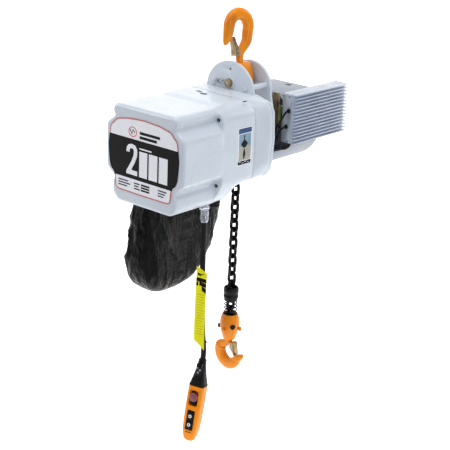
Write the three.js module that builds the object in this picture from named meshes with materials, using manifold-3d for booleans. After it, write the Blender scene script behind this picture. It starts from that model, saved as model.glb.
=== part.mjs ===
// Electric chain hoist, 2 t, single fall, with an inverter drive and a pendant control.
// Millimetres, +Z up. While it is being built, the load line is x = y = 0 and the suspension
// pin's axis is z = 0; the last lines move the origin to the seat of the top hook.
// -Y is the motor end with the nameplate, +Y the end with the drive electronics.

import * as THREE from "three";
import { mergeVertices } from "three/addons/utils/BufferGeometryUtils.js";
import Module from "manifold-3d";

const wasm = await Module();
wasm.setup();

// ---------------------------------------------------------------- driving dimensions

const GAP = 0.3;                       // clearance between pieces that touch
const DEG = Math.PI / 180;

const CHAIN = { wire: 10, pitch: 30, width: 34 };
const FALL = { top: -347, bottom: -797 };          // centres of the fall's end links
const POCKETS = 5;
const PITCH_RADIUS = (2 * POCKETS * CHAIN.pitch) / (2 * Math.PI);
const SHEAVE = { x: -PITCH_RADIUS, z: -167, flange: 42.3, groove: 30, half: 21 };

const BODY = { bottom: -319, mid: -171, half: 152 };
const COVER = { front: -414, step: -243, back: -108, wall: 6, edge: 12 };
const RIM = { half: 177 };
const PLATE = { front: [-50, -40], rear: [42, 52], ear: 93, rearEar: 85, earZ: -27 };
const PIN_RADIUS = 13;
const SPACER = { x: 64, z: -8, radius: 8.5 };

const GEARS = {
  face: 14,
  first: { module: 2, pinion: 12, wheel: 50 },
  second: { module: 2.5, pinion: 12, wheel: 48 },
};

const HOOK_LEAN = 6 * DEG;
const TOP_HOOK = { seat: 182, bowl: 23, crown: 38, neck: 80, turn: 5 * DEG };
const LOAD_HOOK = { bowlX: 5, bowlZ: -906, bowl: 23, crown: 40, neckZ: -868, turn: -2 * DEG };
const BLOCK = { top: -771, wide: -806, bottom: -862, radius: 32, turn: -32 * DEG };
const STOPPER = { top: -678, bottom: -725, radius: 24.5 };
const SPRING = { top: -725.5, bottom: -786.5, coils: 4.5, radius: 19.7, wire: 1.9 };

const REAR = { radius: 119, z: -157, top: -50, back: 285, wall: 5 };
const INVERTER = { x: [93, 131], y: [95, 364], z: [-190, -36], fin: 15, fins: 15 };

const BAG = { mouthZ: -352, bottomZ: -650, wall: 3.5 };
const GLAND = { x: 90, y: -245, bottom: -375 };
const CABLE_RADIUS = 8.5;
const PENDANT = {
  x: 98, y: -237, z: -822, lean: -11 * DEG, turn: 18 * DEG, boot: 86, length: 180, width: 52, depth: 46,
};

// ---------------------------------------------------------------- finishes

const finish = (color, roughness, metalness = 0) => () =>
  new THREE.MeshStandardMaterial({ color, roughness, metalness });
const paint = finish(0xdfe4ea, 0.32);
const castGrey = finish(0xb9bec4, 0.5, 0.2);
const orangePaint = finish(0xe8860c, 0.3);
const darkSteel = finish(0x1c1c1e, 0.45, 0.7);
const steel = finish(0x9a9da1, 0.35, 0.9);
const zinc = finish(0xc9b37a, 0.38, 0.85);
const aluminium = finish(0xaeb8c8, 0.4, 0.9);
const blackRubber = finish(0x17181a, 0.6);
const blackPlastic = finish(0x1b1d20, 0.4);
const bagCloth = finish(0x0e0f10, 0.3);
const pendantOrange = finish(0xff9a08, 0.4);
const stopRed = finish(0x9a5a66, 0.35);
const boardGreen = finish(0x7d8f55, 0.6);
const tagYellow = finish(0xe8e010, 0.5);

// ---------------------------------------------------------------- solid helpers

function toSolid(geometry) {
  const bare = new THREE.BufferGeometry();
  bare.setAttribute("position", geometry.getAttribute("position"));
  if (geometry.index) bare.setIndex(geometry.index);
  const merged = mergeVertices(bare, 1e-4);
  return new wasm.Manifold(new wasm.Mesh({
    numProp: 3,
    vertProperties: new Float32Array(merged.getAttribute("position").array),
    triVerts: new Uint32Array(merged.index.array),
  }));
}

function toGeometry(solid) {
  const mesh = solid.getMesh();
  const geometry = new THREE.BufferGeometry();
  geometry.setAttribute("position", new THREE.BufferAttribute(mesh.vertProperties, 3));
  geometry.setIndex(new THREE.BufferAttribute(mesh.triVerts, 1));
  return geometry;
}

const join = (...pieces) =>
  toGeometry(pieces.map(toSolid).reduce((sum, piece) => sum.add(piece)));
const cut = (piece, ...tools) =>
  toGeometry(tools.map(toSolid).reduce((left, tool) => left.subtract(tool), toSolid(piece)));
const keep = (piece, region) => toGeometry(toSolid(piece).intersect(toSolid(region)));

// A box from its low and high corners.
function block(x0, x1, y0, y1, z0, z1) {
  return new THREE.BoxGeometry(x1 - x0, y1 - y0, z1 - z0)
    .translate((x0 + x1) / 2, (y0 + y1) / 2, (z0 + z1) / 2);
}

// A rod along Y between y0 and y1, along Z between z0 and z1, or along X.
const rodY = (r, x, z, y0, y1, sides = 20) =>
  new THREE.CylinderGeometry(r, r, y1 - y0, sides).translate(x, (y0 + y1) / 2, z);
const rodZ = (r, x, y, z0, z1, sides = 20) =>
  new THREE.CylinderGeometry(r, r, z1 - z0, sides).rotateX(Math.PI / 2)
    .translate(x, y, (z0 + z1) / 2);
const rodX = (r, y, z, x0, x1, sides = 20) =>
  new THREE.CylinderGeometry(r, r, x1 - x0, sides).rotateZ(Math.PI / 2)
    .translate((x0 + x1) / 2, y, z);

// A turned piece: [radius, z] pairs from the axis out and back, about +Z.
const turned = (profile, sides = 24) =>
  new THREE.LatheGeometry(profile.map(([r, z]) => new THREE.Vector2(r, z)), sides)
    .rotateX(Math.PI / 2);

// A flat outline of [x, z] pairs, pushed along Y from y0 to y1.
function prismY(outline, y0, y1) {
  const shape = new THREE.Shape(outline.map(([x, z]) => new THREE.Vector2(x, z)));
  return new THREE.ExtrudeGeometry(shape, { depth: y1 - y0, bevelEnabled: false, steps: 1 })
    .rotateX(Math.PI / 2).translate(0, y1, 0);
}

// A closed skin through rings of points, with flat ends.
function skin(rings) {
  const count = rings[0].length;
  const position = rings.flat().flatMap((p) => [p.x, p.y, p.z]);
  const index = [];
  for (let i = 0; i + 1 < rings.length; i++) {
    for (let j = 0; j < count; j++) {
      const a = i * count + j;
      const b = i * count + ((j + 1) % count);
      index.push(a, b, b + count, a, b + count, a + count);
    }
  }
  index.push(...capFaces(rings[0]).flatMap(([a, b, c]) => [c, b, a]));
  const last = (rings.length - 1) * count;
  index.push(...capFaces(rings[rings.length - 1]).flat().map((k) => k + last));
  const geometry = new THREE.BufferGeometry();
  geometry.setAttribute("position", new THREE.Float32BufferAttribute(position, 3));
  geometry.setIndex(volume(position, index) < 0 ? index.reverse() : index);
  return geometry;
}

// Triangles over a flat ring, wound the way that the ring runs.
function capFaces(ring) {
  const normal = new THREE.Vector3();
  ring.forEach((p, k) => normal.add(p.clone().cross(ring[(k + 1) % ring.length])));
  const u = new THREE.Vector3(1, 0, 0);
  if (Math.abs(normal.clone().normalize().x) > 0.8) u.set(0, 1, 0);
  const v = normal.clone().cross(u).normalize();
  const across = v.clone().cross(normal).normalize();
  const flat = ring.map((p) => new THREE.Vector2(p.dot(across), p.dot(v)));
  return THREE.ShapeUtils.triangulateShape(flat, []).map(([a, b, c]) => {
    const area = (flat[b].x - flat[a].x) * (flat[c].y - flat[a].y)
      - (flat[c].x - flat[a].x) * (flat[b].y - flat[a].y);
    return area > 0 ? [a, b, c] : [a, c, b];
  });
}

function volume(position, index) {
  const corner = (k) => new THREE.Vector3().fromArray(position, 3 * index[k]);
  let sum = 0;
  for (let k = 0; k < index.length; k += 3) {
    sum += corner(k).dot(corner(k + 1).cross(corner(k + 2)));
  }
  return sum;
}

// A bar of oval section bent along a planar line. Stations are [across, up, thick, wide].
function bentBar(stations, sides, plane) {
  const points = stations.map(([t, h]) => new THREE.Vector2(t, h));
  const rings = stations.map(([t, h, thick, wide], k) => {
    const before = points[Math.max(k - 1, 0)];
    const after = points[Math.min(k + 1, points.length - 1)];
    const along = after.clone().sub(before).normalize();
    return Array.from({ length: sides }, (_, s) => {
      const angle = (2 * Math.PI * s) / sides;
      const inward = (thick / 2) * Math.cos(angle);
      return plane(t - along.y * inward, h + along.x * inward, (wide / 2) * Math.sin(angle));
    });
  });
  return skin(rings);
}

// A tube along a smooth line through points.
function tube(points, radius, sides, steps) {
  const line = new THREE.CatmullRomCurve3(points.map((p) => new THREE.Vector3(...p)));
  const section = new THREE.Shape(Array.from({ length: sides }, (_, s) =>
    new THREE.Vector2(0, radius).rotateAround(new THREE.Vector2(), (2 * Math.PI * s) / sides)));
  return new THREE.ExtrudeGeometry(section, { steps, extrudePath: line, bevelEnabled: false });
}

// ---------------------------------------------------------------- scene graph

const hoist = new THREE.Group();

function add(parent, name, geometry, material) {
  const mesh = new THREE.Mesh(geometry, material());
  mesh.name = name;
  parent.add(mesh);
  return mesh;
}

// ---------------------------------------------------------------- housing sections

// Right half of each outline, top to bottom, as [x, z]; the left half mirrors it.
const whole = (half) => [...half, ...half.slice(1, -1).reverse().map(([x, z]) => [-x, z])];

const COVER_HALF = [
  [0, -27], [110, -27], [122, -31], [128, -40], [128, -48], [117, -60], [147, -83],
  [155, -92], [155, -218], [148, -227], [119, -250], [127, -262], [128, -296], [106, -319],
  [0, -319],
];
const STEP_HALF = [
  [0, -27.5], [110, -27.5], [136, -39], [150, -57], [155.3, -155], [152, -246], [146, -259],
  [128.5, -295], [106, -319.2], [0, -319.2],
];
const CASE_HALF = [
  [0, -23], [108, -23], [140, -38], [152, -54], [155, -160], [152, -246], [147, -259],
  [128, -291], [106, -317], [0, -318],
];
const CASE_BACK_HALF = [
  [0, -21], [108, -22], [141, -37], [154, -56], [156, -171], [153, -244], [147, -259],
  [112, -279], [61, -303], [0, -312],
];
const RIM_HALF = [
  [0, -18], [105, -20], [160, -35], [172, -60], [RIM.half, -140], [172, -215], [150, -256],
  [110, -281], [61, -302], [0, -312],
];

// An outline drawn in by the same distance all round, near enough, as a ring at y.
function ringAt(half, y, inset = 0) {
  const sideways = 1 - inset / BODY.half;
  const upright = 1 - inset / (BODY.mid - BODY.bottom);
  return whole(half).map(([x, z]) =>
    new THREE.Vector3(x * sideways, y, BODY.mid + (z - BODY.mid) * upright));
}

const mixHalf = (a, b, t) => a.map(([x, z], k) =>
  [x + (b[k][0] - x) * t, z + (b[k][1] - z) * t]);

const SCREWS = [[134, -57], [134, -253], [-134, -57], [-134, -253]];

// The cover's front end has pads with channels between them at its corners. Each channel runs
// back to a step, and a screw stands in the step.
function frontCover() {
  const { front, step, back, wall, edge } = COVER;
  const frontEnd = skin([
    ringAt(COVER_HALF, front, edge), ringAt(COVER_HALF, front + 2, edge * 0.5),
    ringAt(COVER_HALF, front + 6, edge * 0.15), ringAt(COVER_HALF, front + edge, 0),
    ringAt(COVER_HALF, step + 5, 0),
  ]);
  const barrel = skin([
    ringAt(STEP_HALF, step), ringAt(CASE_HALF, -200), ringAt(CASE_HALF, -188),
    ringAt(mixHalf(CASE_HALF, CASE_BACK_HALF, 0.55), -160),
    ringAt(CASE_BACK_HALF, -135), ringAt(CASE_BACK_HALF, back),
  ]);
  const hollow = skin([
    ringAt(COVER_HALF, front + wall, edge + 5), ringAt(COVER_HALF, front + edge, wall),
    ringAt(COVER_HALF, step + 20, wall),
  ]);
  const bore = skin([
    ringAt(STEP_HALF, step + wall, wall + 1), ringAt(CASE_BACK_HALF, back + 5, wall + 1),
  ]);
  const holes = SCREWS.map(([x, z]) => rodY(3.4, x, z, step - 20, step + 12, 12));
  const glandHole = rodZ(10, GLAND.x, GLAND.y, BODY.bottom - 5, BODY.bottom + 20, 16);
  return cut(join(frontEnd, barrel), hollow, bore, glandHole, ...holes);
}

function gearCase() {
  const front = COVER.back + GAP;
  const back = PLATE.front[0] - GAP;
  const bulge = (t) => Math.sin((t * Math.PI) / 2);
  const rings = [0, 0.25, 0.5, 0.75, 1].map((t) =>
    ringAt(mixHalf(CASE_BACK_HALF, RIM_HALF, bulge(t)), front + (back - front) * t));
  const bore = skin([
    ringAt(CASE_BACK_HALF, front - 5, COVER.wall + 5), ringAt(CASE_BACK_HALF, back + 5, COVER.wall + 1),
  ]);
  return cut(skin(rings), bore);
}

// ---------------------------------------------------------------- frame plates

const circle = (r, x, z, from, to, steps) => Array.from({ length: steps + 1 }, (_, k) => {
  const angle = (from + ((to - from) * k) / steps) * DEG;
  return [x + r * Math.cos(angle), z + r * Math.sin(angle)];
});

function framePlate(outline, ear, [y0, y1]) {
  const body = prismY(outline, y0, y1);
  const lug = prismY([...circle(ear, 0, PLATE.earZ, 0, 180, 22), [-ear, -60], [ear, -60]], y0, y1);
  const boss = rodY(16.5, 0, 0, y0 < 0 ? y0 - 3 : y0, y0 < 0 ? y1 : y1 + 3, 24);
  const holes = [
    rodY(PIN_RADIUS + GAP, 0, 0, y0 - 9, y1 + 9, 24),
    rodY(24, SHEAVE.x, SHEAVE.z, y0 - 9, y1 + 9, 24),
    rodY(4.5, 0, 42, y0 - 9, y1 + 9, 10),
  ];
  return cut(join(body, lug, boss), ...holes);
}

const REAR_PLATE_OUTLINE = [
  [85, -40], [92, -70], [96, -120], [96, -268], [80, -292], [55, -300],
  [-55, -300], [-80, -292], [-96, -268], [-96, -120], [-92, -70], [-85, -40],
];

function bearing([y0, y1]) {
  const ring = rodY(23.7, SHEAVE.x, SHEAVE.z, y0, y1, 24);
  return cut(ring, rodY(14.3, SHEAVE.x, SHEAVE.z, y0 - 1, y1 + 1, 24));
}

function spacerTube(x) {
  const [y0, y1] = [PLATE.front[1] + GAP, PLATE.rear[0] - GAP];
  return cut(rodY(SPACER.radius, x, SPACER.z, y0, y1, 18), rodY(5, x, SPACER.z, y0 - 1, y1 + 1, 12));
}

function pinKeeper() {
  const y = PLATE.front[0] - 3 - GAP;
  const bar = block(-52, -15, y - 4, y, -6, 6);
  return join(bar, rodY(5.5, -44, 0, y - 8, y - 1, 6));
}

function suspensionPin() {
  const pin = rodY(PIN_RADIUS, 0, 0, PLATE.front[0] - 12, PLATE.rear[1] + 8, 24);
  const slot = block(-20, -9, PLATE.front[0] - 8.2, PLATE.front[0] - 2.6, -7, 7);
  return cut(pin, slot);
}

// ---------------------------------------------------------------- chain

// One link: an oval ring of round wire, centred at the origin with its length along Z.
function linkGeometry(reach, sides) {
  const bend = (CHAIN.width - CHAIN.wire) / 2;
  const straight = reach / 2 + CHAIN.wire / 2 - bend;
  const loop = [
    ...circle(bend, 0, straight, 0, 180, 3), ...circle(bend, 0, -straight, 180, 360, 3),
  ];
  const rings = loop.map(([x, z], k) => {
    const [x0, z0] = loop[(k + loop.length - 1) % loop.length];
    const [x1, z1] = loop[(k + 1) % loop.length];
    const out = new THREE.Vector2(z1 - z0, -(x1 - x0)).normalize();
    return Array.from({ length: sides }, (_, s) => {
      const angle = (2 * (s + 0.5) * Math.PI) / sides;
      const r = CHAIN.wire / 2;
      return new THREE.Vector3(
        x + out.x * r * Math.cos(angle), r * Math.sin(angle), z + out.y * r * Math.cos(angle));
    });
  });
  return ringLoop(rings);
}

// A closed ring of sections, joined end to start.
function ringLoop(rings) {
  const sides = rings[0].length;
  const position = rings.flat().flatMap((p) => [p.x, p.y, p.z]);
  const index = [];
  for (let i = 0; i < rings.length; i++) {
    const next = (i + 1) % rings.length;
    for (let j = 0; j < sides; j++) {
      const a = i * sides + j;
      const b = i * sides + ((j + 1) % sides);
      const c = next * sides + j;
      const d = next * sides + ((j + 1) % sides);
      index.push(a, b, d, a, d, c);
    }
  }
  const geometry = new THREE.BufferGeometry();
  geometry.setAttribute("position", new THREE.Float32BufferAttribute(position, 3));
  geometry.setIndex(volume(position, index) < 0 ? index.reverse() : index);
  return geometry;
}

// The fall's links hook into each other, so each reaches a little short of the pitch and the
// whole run is one piece. Links alternate between the XZ and YZ planes.
const LINK_BITE = 1.2;

function loadChain() {
  const links = [];
  const count = Math.round((FALL.top - FALL.bottom) / CHAIN.pitch);
  for (let k = 0; k <= count; k++) {
    const hidden = Math.max(0, k - (count - 3));       // the last links turn into the block
    const turn = (k % 2 ? 90 * DEG : 0) + (hidden / 3) * BLOCK.turn;
    links.push(linkGeometry(CHAIN.pitch - LINK_BITE, 6).rotateZ(turn)
      .translate(0, 0, FALL.top - k * CHAIN.pitch));
  }
  return join(...links);
}

// Chain above the fall: up to the sheave, over it, and down on the slack side into the bag.
function slackChain() {
  const links = [];
  const place = (k, x, z, tilt) => links.push(linkGeometry(CHAIN.pitch - LINK_BITE, 4)
    .rotateZ(k % 2 ? 90 * DEG : 0).rotateY(tilt).translate(x, 0, z));
  const first = FALL.top + CHAIN.pitch;
  const rise = (SHEAVE.z - first) / CHAIN.pitch;
  let k = 1;
  place(k++, 0, first - LINK_BITE - 2 * GAP, 0);           // hooks into the fall without touching it
  for (let step = 1; step <= rise; step++, k++) place(k, 0, first + step * CHAIN.pitch, 0);
  const turn = 180 / POCKETS;
  for (let angle = turn; angle < 180; angle += turn, k++) {
    const r = PITCH_RADIUS + 1.2;
    place(k, SHEAVE.x + r * Math.cos(angle * DEG), SHEAVE.z + r * Math.sin(angle * DEG),
      -angle * DEG);
  }
  for (let z = SHEAVE.z; z > BAG.mouthZ + 5; z -= CHAIN.pitch, k++) {
    place(k, 2 * SHEAVE.x, z, 0);
  }
  return join(...links);
}

function loadSheave() {
  const { x, z, flange, groove, half } = SHEAVE;
  const wheel = turned([
    [0, -half], [36, -half], [flange, -half + 3], [flange, -6.6], [groove, -6.6],
    [groove, 6.6], [flange, 6.6], [flange, half - 3], [36, half], [0, half],
  ], 30).rotateX(Math.PI / 2).translate(x, 0, z);
  const teeth = [];
  for (let k = 0; k < POCKETS; k++) {
    for (const side of [-1, 1]) {
      const y = [6.8, 16].map((v) => v * side).sort((a, b) => a - b);
      teeth.push(block(flange - 4, 47.2, y[0], y[1], -2.6, 2.6)
        .rotateY((-k * 360 / POCKETS) * DEG).translate(x, 0, z));
    }
  }
  const shaft = join(rodY(14, x, z, -76, 54, 24), rodY(18, x, z, -39, 41, 24));
  return join(wheel, shaft, ...teeth);
}

// The guide under the sheave strips the chain off its pockets and leads both runs down.
function chainGuide() {
  const { x, z } = SHEAVE;
  const [y0, y1] = [PLATE.front[1] + GAP, PLATE.rear[0] - GAP];
  const body = block(-124, 29, y0, y1, -298, -196);
  const runs = [0, 2 * x].map((cx) => rodZ(19.5, cx, 0, -340, -150, 20));
  const hollow = rodY(52, x, z, y0 + 8, y1 - 8, 28);
  const relief = [
    block(-160, -2 * PITCH_RADIUS - 26, y0 - 1, y1 + 1, -250, -190),
    rodY(21, x, z, y0 - 1, y1 + 1, 20),
  ];
  return cut(body, hollow, ...runs, ...relief);
}

// ---------------------------------------------------------------- gear train

const crest = (gear, teeth) => gear.module * (teeth / 2 + 0.85);
const valley = (gear, teeth) => gear.module * (teeth / 2 - 1.15);

// Toothed wheel about Y; its first tooth points along +X before it is turned by phase.
function gearWheel(gear, teeth, y0, bore, phase) {
  const outline = [];
  const step = (2 * Math.PI) / teeth;
  for (let k = 0; k < teeth; k++) {
    for (const [share, r] of [[-0.33, valley(gear, teeth)], [-0.13, crest(gear, teeth)],
      [0.13, crest(gear, teeth)], [0.33, valley(gear, teeth)]]) {
      const angle = (k + share) * step + phase;
      outline.push([r * Math.cos(angle), r * Math.sin(angle)]);
    }
  }
  const wheel = prismY(outline, y0, y0 + GEARS.face);
  return bore ? cut(wheel, rodY(bore, 0, 0, y0 - 1, y0 + GEARS.face + 1, 16)) : wheel;
}

const MOTOR = { x: 0, z: SHEAVE.z };
const centreDistance = (gear) => (gear.module * (gear.pinion + gear.wheel)) / 2;

// The middle shaft sits above the line between motor and sheave, in mesh with both.
function middleShaft() {
  const reachMotor = centreDistance(GEARS.first);
  const reachSheave = centreDistance(GEARS.second);
  const span = MOTOR.x - SHEAVE.x;
  const along = (span ** 2 + reachSheave ** 2 - reachMotor ** 2) / (2 * span);
  return { x: SHEAVE.x + along, z: SHEAVE.z + Math.sqrt(reachSheave ** 2 - along ** 2) };
}
const MIDDLE = middleShaft();

// Phase that puts a tooth space of one wheel on the line towards a neighbour's tooth.
const bearingTo = (from, to) => Math.atan2(to.z - from.z, to.x - from.x);
const toothAt = (teeth, angle) => angle - Math.round(angle / ((2 * Math.PI) / teeth))
  * ((2 * Math.PI) / teeth);
const spaceAt = (teeth, angle) => toothAt(teeth, angle) + Math.PI / teeth;

const FIRST_Y = -101;
const SECOND_Y = -80;

function addGearTrain() {
  const { first, second } = GEARS;
  const sheavePoint = { x: SHEAVE.x, z: SHEAVE.z };
  const output = gearWheel(second, second.wheel, SECOND_Y, 14 + GAP,
    toothAt(second.wheel, bearingTo(sheavePoint, MIDDLE)));
  add(hoist, "output_gear", output, steel).position.set(SHEAVE.x, 0, SHEAVE.z);

  const secondPinion = join(
    gearWheel(second, second.pinion, SECOND_Y, 0,
      spaceAt(second.pinion, bearingTo(MIDDLE, sheavePoint))),
    rodY(9, 0, 0, -106, -56, 16));
  add(hoist, "second_pinion", secondPinion, steel).position.set(MIDDLE.x, 0, MIDDLE.z);
  const firstWheel = gearWheel(first, first.wheel, FIRST_Y, 9 + GAP,
    toothAt(first.wheel, bearingTo(MIDDLE, MOTOR)));
  add(hoist, "first_gear", firstWheel, steel).position.set(MIDDLE.x, 0, MIDDLE.z);

  const pinion = gearWheel(first, first.pinion, FIRST_Y, 7 + GAP,
    spaceAt(first.pinion, bearingTo(MOTOR, MIDDLE)));
  add(hoist, "motor_pinion", pinion, steel).position.set(MOTOR.x, 0, MOTOR.z);
}

// ---------------------------------------------------------------- motor and brake

function addMotor() {
  const { x, z } = MOTOR;
  const stator = cut(rodY(78, x, z, -318, -188, 32), rodY(42, x, z, -330, -180, 28));
  add(hoist, "motor_stator", stator, castGrey);
  const rotor = join(rodY(40, x, z, -306, -200, 28), rodY(7, x, z, -372, -85, 16));
  add(hoist, "rotor", rotor, steel);
  const disc = cut(rodY(55, x, z, -352, -346, 28), rodY(7 + GAP, x, z, -360, -340, 16));
  add(hoist, "brake_disc", disc, darkSteel);
}

// ---------------------------------------------------------------- hooks

// Points of a hook's centre line round its bowl, from the back of the neck to the tip.
function bowlStations(centre, bowl, crown, from, to, steps, tipThick) {
  return Array.from({ length: steps + 1 }, (_, k) => {
    const share = k / steps;
    const angle = (from + (to - from) * share) * DEG;
    const swell = Math.sin(Math.PI * Math.min(1, share * 1.25));
    const thick = share < 0.55
      ? crown * (0.9 + 0.1 * swell)
      : crown + (tipThick - crown) * ((share - 0.55) / 0.45) ** 1.6;
    const r = bowl + thick / 2;
    return [r * Math.cos(angle), centre + r * Math.sin(angle), thick, Math.min(31, thick * 0.9)];
  });
}

function topHook() {
  const { seat, bowl, crown, neck } = TOP_HOOK;
  const centre = seat - bowl;
  const stations = [
    [0, 61, 22, 22], [0, neck - 8, 22, 22], [-4, neck + 6, 25, 23], [-18, neck + 21, 29, 25],
    [-32, neck + 39, 33, 28],
    ...bowlStations(centre, bowl, crown, 200, 8, 12, 34),
    [43, centre - 9, 33, 27], [48, centre - 23, 28, 23], [54, centre - 35, 21, 17],
    [58, centre - 42, 12, 11], [60, centre - 46, 6, 6],
  ];
  const shankEnd = rodZ(11, 0, 0, 34, 62, 18);
  const nut = rodZ(17, 0, 0, 26, 36, 6);
  return join(bentBar(stations, 12, topPlane), shankEnd, nut, latchLug(topPlane, 13, neck + 4));
}

// The top hook's plane stands a few degrees off the row's YZ plane, on its swivel.
function topPlane(t, h, s) {
  const [c, d] = [Math.cos(TOP_HOOK.turn), Math.sin(TOP_HOOK.turn)];
  return new THREE.Vector3(s * c - t * d, -s * d - t * c, h);
}

function latchLug(plane, t, h) {
  const centre = plane(t, h, 0);
  return new THREE.SphereGeometry(9, 10, 8).translate(centre.x, centre.y, centre.z);
}

// A folded sheet latch: back plate with two cheeks that straddle the lug.
function latch(from, to, width, side, plane) {
  const along = new THREE.Vector2(to[0] - from[0], to[1] - from[1]);
  const length = along.length();
  along.normalize();
  const across = new THREE.Vector2(along.y * side, -along.x * side);
  const put = (a, c, s) => plane(
    from[0] + along.x * a + across.x * c, from[1] + along.y * a + across.y * c, s);
  const slab = (a0, a1, c0, c1, s0, s1) => skin([s0, s1].map((s) =>
    [put(a0, c0, s), put(a1, c0, s), put(a1, c1, s), put(a0, c1, s)]));
  const half = width / 2;
  const back = slab(-6, length, 9.6, 11.6, -half, half);
  const cheeks = [-1, 1].map((flank) => skin([half, half - 2].map((v) => [
    put(-7, -4, v * flank), put(6, -7, v * flank), put(length * 0.6, 4, v * flank),
    put(length, 9.8, v * flank), put(length, 11.6, v * flank), put(-7, 11.6, v * flank),
  ])));
  return join(back, ...cheeks);
}

// Orange yoke on the suspension pin, split by the plates: it carries the hook's nut inside.
function hookYoke() {
  const y = [-30, 30];
  const outline = [
    ...circle(26, 0, 0, 180, 360, 12), [26, 18], [22, 44], [15, 56], [-15, 56], [-22, 44],
    [-26, 18],
  ];
  const body = prismY(outline, y[0], y[1]);
  const pinHole = rodY(PIN_RADIUS + GAP, 0, 0, -40, 40, 24);
  const shankHole = rodZ(11.6, 0, 0, 30, 70, 18);
  const nutRoom = block(-17.6, 17.6, -40, 40, 23, 38);
  return cut(body, pinHole, shankHole, nutRoom);
}

function loadHook() {
  const { bowlX, bowlZ, bowl, crown, neckZ } = LOAD_HOOK;
  const stations = [
    [0, neckZ + 4.4, 22, 22], [-1, neckZ - 3, 23, 22], [-13, neckZ - 13, 26, 24],
    [-28, neckZ - 20, 29, 25],
    ...bowlStations(bowlZ, bowl, crown, 163, 328, 12, 27)
      .map(([t, h, thick, wide]) => [t + bowlX, h, thick, wide]),
    [48, bowlZ - 9, 23, 20], [57, bowlZ - 1, 16, 14], [62, bowlZ + 4, 9, 9],
    [64, bowlZ + 6, 4, 4],
  ];
  const plane = (t, h, s) => new THREE.Vector3(t, s, h);
  const stem = rodZ(10, 0, 0, neckZ, neckZ + 24, 18);
  const collar = rodZ(15, 0, 0, neckZ + 22, neckZ + 30, 18);
  return join(bentBar(stations, 12, plane), stem, collar, latchLug(plane, 15, neckZ - 9));
}

// ---------------------------------------------------------------- load block

const CHAIN_PIN_Z = FALL.bottom - 8;
const BLOCK_BOLTS = [-21, 21];
const BOLT_Z = BLOCK.wide - 15;

function blockShell() {
  const { top, wide, bottom, radius } = BLOCK;
  const outer = turned([
    [0, bottom], [17, bottom], [21, bottom + 6], [radius - 3, wide - 24], [radius, wide - 8],
    [radius, wide + 6], [radius - 3, top - 9], [25.5, top], [0, top],
  ], 24);
  const springRoom = turned([[0, top - 16], [22.6, top - 16], [22.6, top + 2], [0, top + 2]], 24);
  const chainRoom = turned([[0, wide - 24], [19, wide - 24], [19, top + 2], [0, top + 2]], 20);
  const stemHole = rodZ(10.6, 0, 0, bottom - 2, bottom + 40, 18);
  const collarRoom = rodZ(16, 0, 0, LOAD_HOOK.neckZ + 21, LOAD_HOOK.neckZ + 32, 18);
  const cross = rodX(6.3, 0, CHAIN_PIN_Z, -60, 60, 14);
  const bolts = BLOCK_BOLTS.flatMap((x) => [rodY(4.3, x, BOLT_Z, -60, 60, 10),
    rodY(7, x, BOLT_Z, -60, -25.7, 12), rodY(7, x, BOLT_Z, 25.7, 60, 12)]);
  return cut(outer, springRoom, chainRoom, stemHole, collarRoom, cross, ...bolts);
}

function blockBolt(x) {
  return join(rodY(4, x, BOLT_Z, -27, 27, 10), rodY(6.5, x, BOLT_Z, -31, -26, 6),
    rodY(6.5, x, BOLT_Z, 26, 30, 6));
}

function stopBuffer() {
  const { top, bottom, radius } = STOPPER;
  const body = turned([
    [0, bottom], [22, bottom], [radius - 1, bottom + 8], [radius, bottom + 18],
    [radius, top - 9], [radius - 3, top], [0, top],
  ], 20);
  return cut(body, rodZ(17.6, 0, 0, bottom - 5, top + 5, 20));
}

// A coil of round wire standing between the rubber and the bottom of the block's pocket.
function bufferSpring() {
  const { top, bottom, coils, radius, wire } = SPRING;
  const steps = coils * 10;
  const low = bottom + wire;
  const rise = top - bottom - 2 * wire;
  const rings = Array.from({ length: steps + 1 }, (_, k) => {
    const angle = (2 * Math.PI * k) / 10;
    const z = low + (rise * k) / steps;
    return Array.from({ length: 5 }, (_, s) => {
      const r = radius + wire * Math.cos((s * Math.PI) / 2.5);
      return new THREE.Vector3(
        r * Math.cos(angle), r * Math.sin(angle), z + wire * Math.sin((s * Math.PI) / 2.5));
    });
  });
  return skin(rings);
}

// ---------------------------------------------------------------- rear electronics

// The housing is a drum with a flat roof, open on the side where the drive box hangs.
function rearHousing() {
  const { radius, z, top, wall, back } = REAR;
  const front = PLATE.rear[1] + GAP;
  const ring = (y, r, roof) => [
    ...circle(r, 0, z, -10, -232, 24), [-r * 0.9, roof - 16], [-r * 0.8, roof], [60, roof],
    [85, roof - 22],
  ].map(([x, h]) => new THREE.Vector3(x, y, h));
  const outer = skin([
    ring(front, radius, top), ring(262, radius, top), ring(277, radius - 7, top),
    ring(back, radius - 26, top - 14),
  ]);
  const hollow = skin([
    ring(front - 5, radius - wall, top - wall), ring(262, radius - wall, top - wall),
    ring(back - wall, radius - 34, top - 22),
  ]);
  const openSide = block(86, 150, front - 5, back + 5, -197, top + 10);
  const mouth = block(-40, 150, front - 5, 118, -172, top + 10);
  const loomGap = block(60, 150, front - 5, 122, -214, -160);
  const slot = block(-16, 4, 238, 258, top - 10, top + 10);
  return cut(outer, hollow, openSide, mouth, loomGap, slot);
}

const LEAD_PORTS = [[119, -88], [112, -139]];

function inverterBox() {
  const { x, y, z } = INVERTER;
  const shell = block(x[0], x[1] - 4, y[0], y[1], z[0], z[1]);
  const hollow = block(x[0] + 3, x[1], y[0] + 3, y[1] - 3, z[0] + 3, z[1] - 3);
  const ports = LEAD_PORTS.map(([px, pz]) => rodY(5, px, pz, y[0] - 5, y[0] + 10, 12));
  return cut(shell, hollow, ...ports);
}

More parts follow.
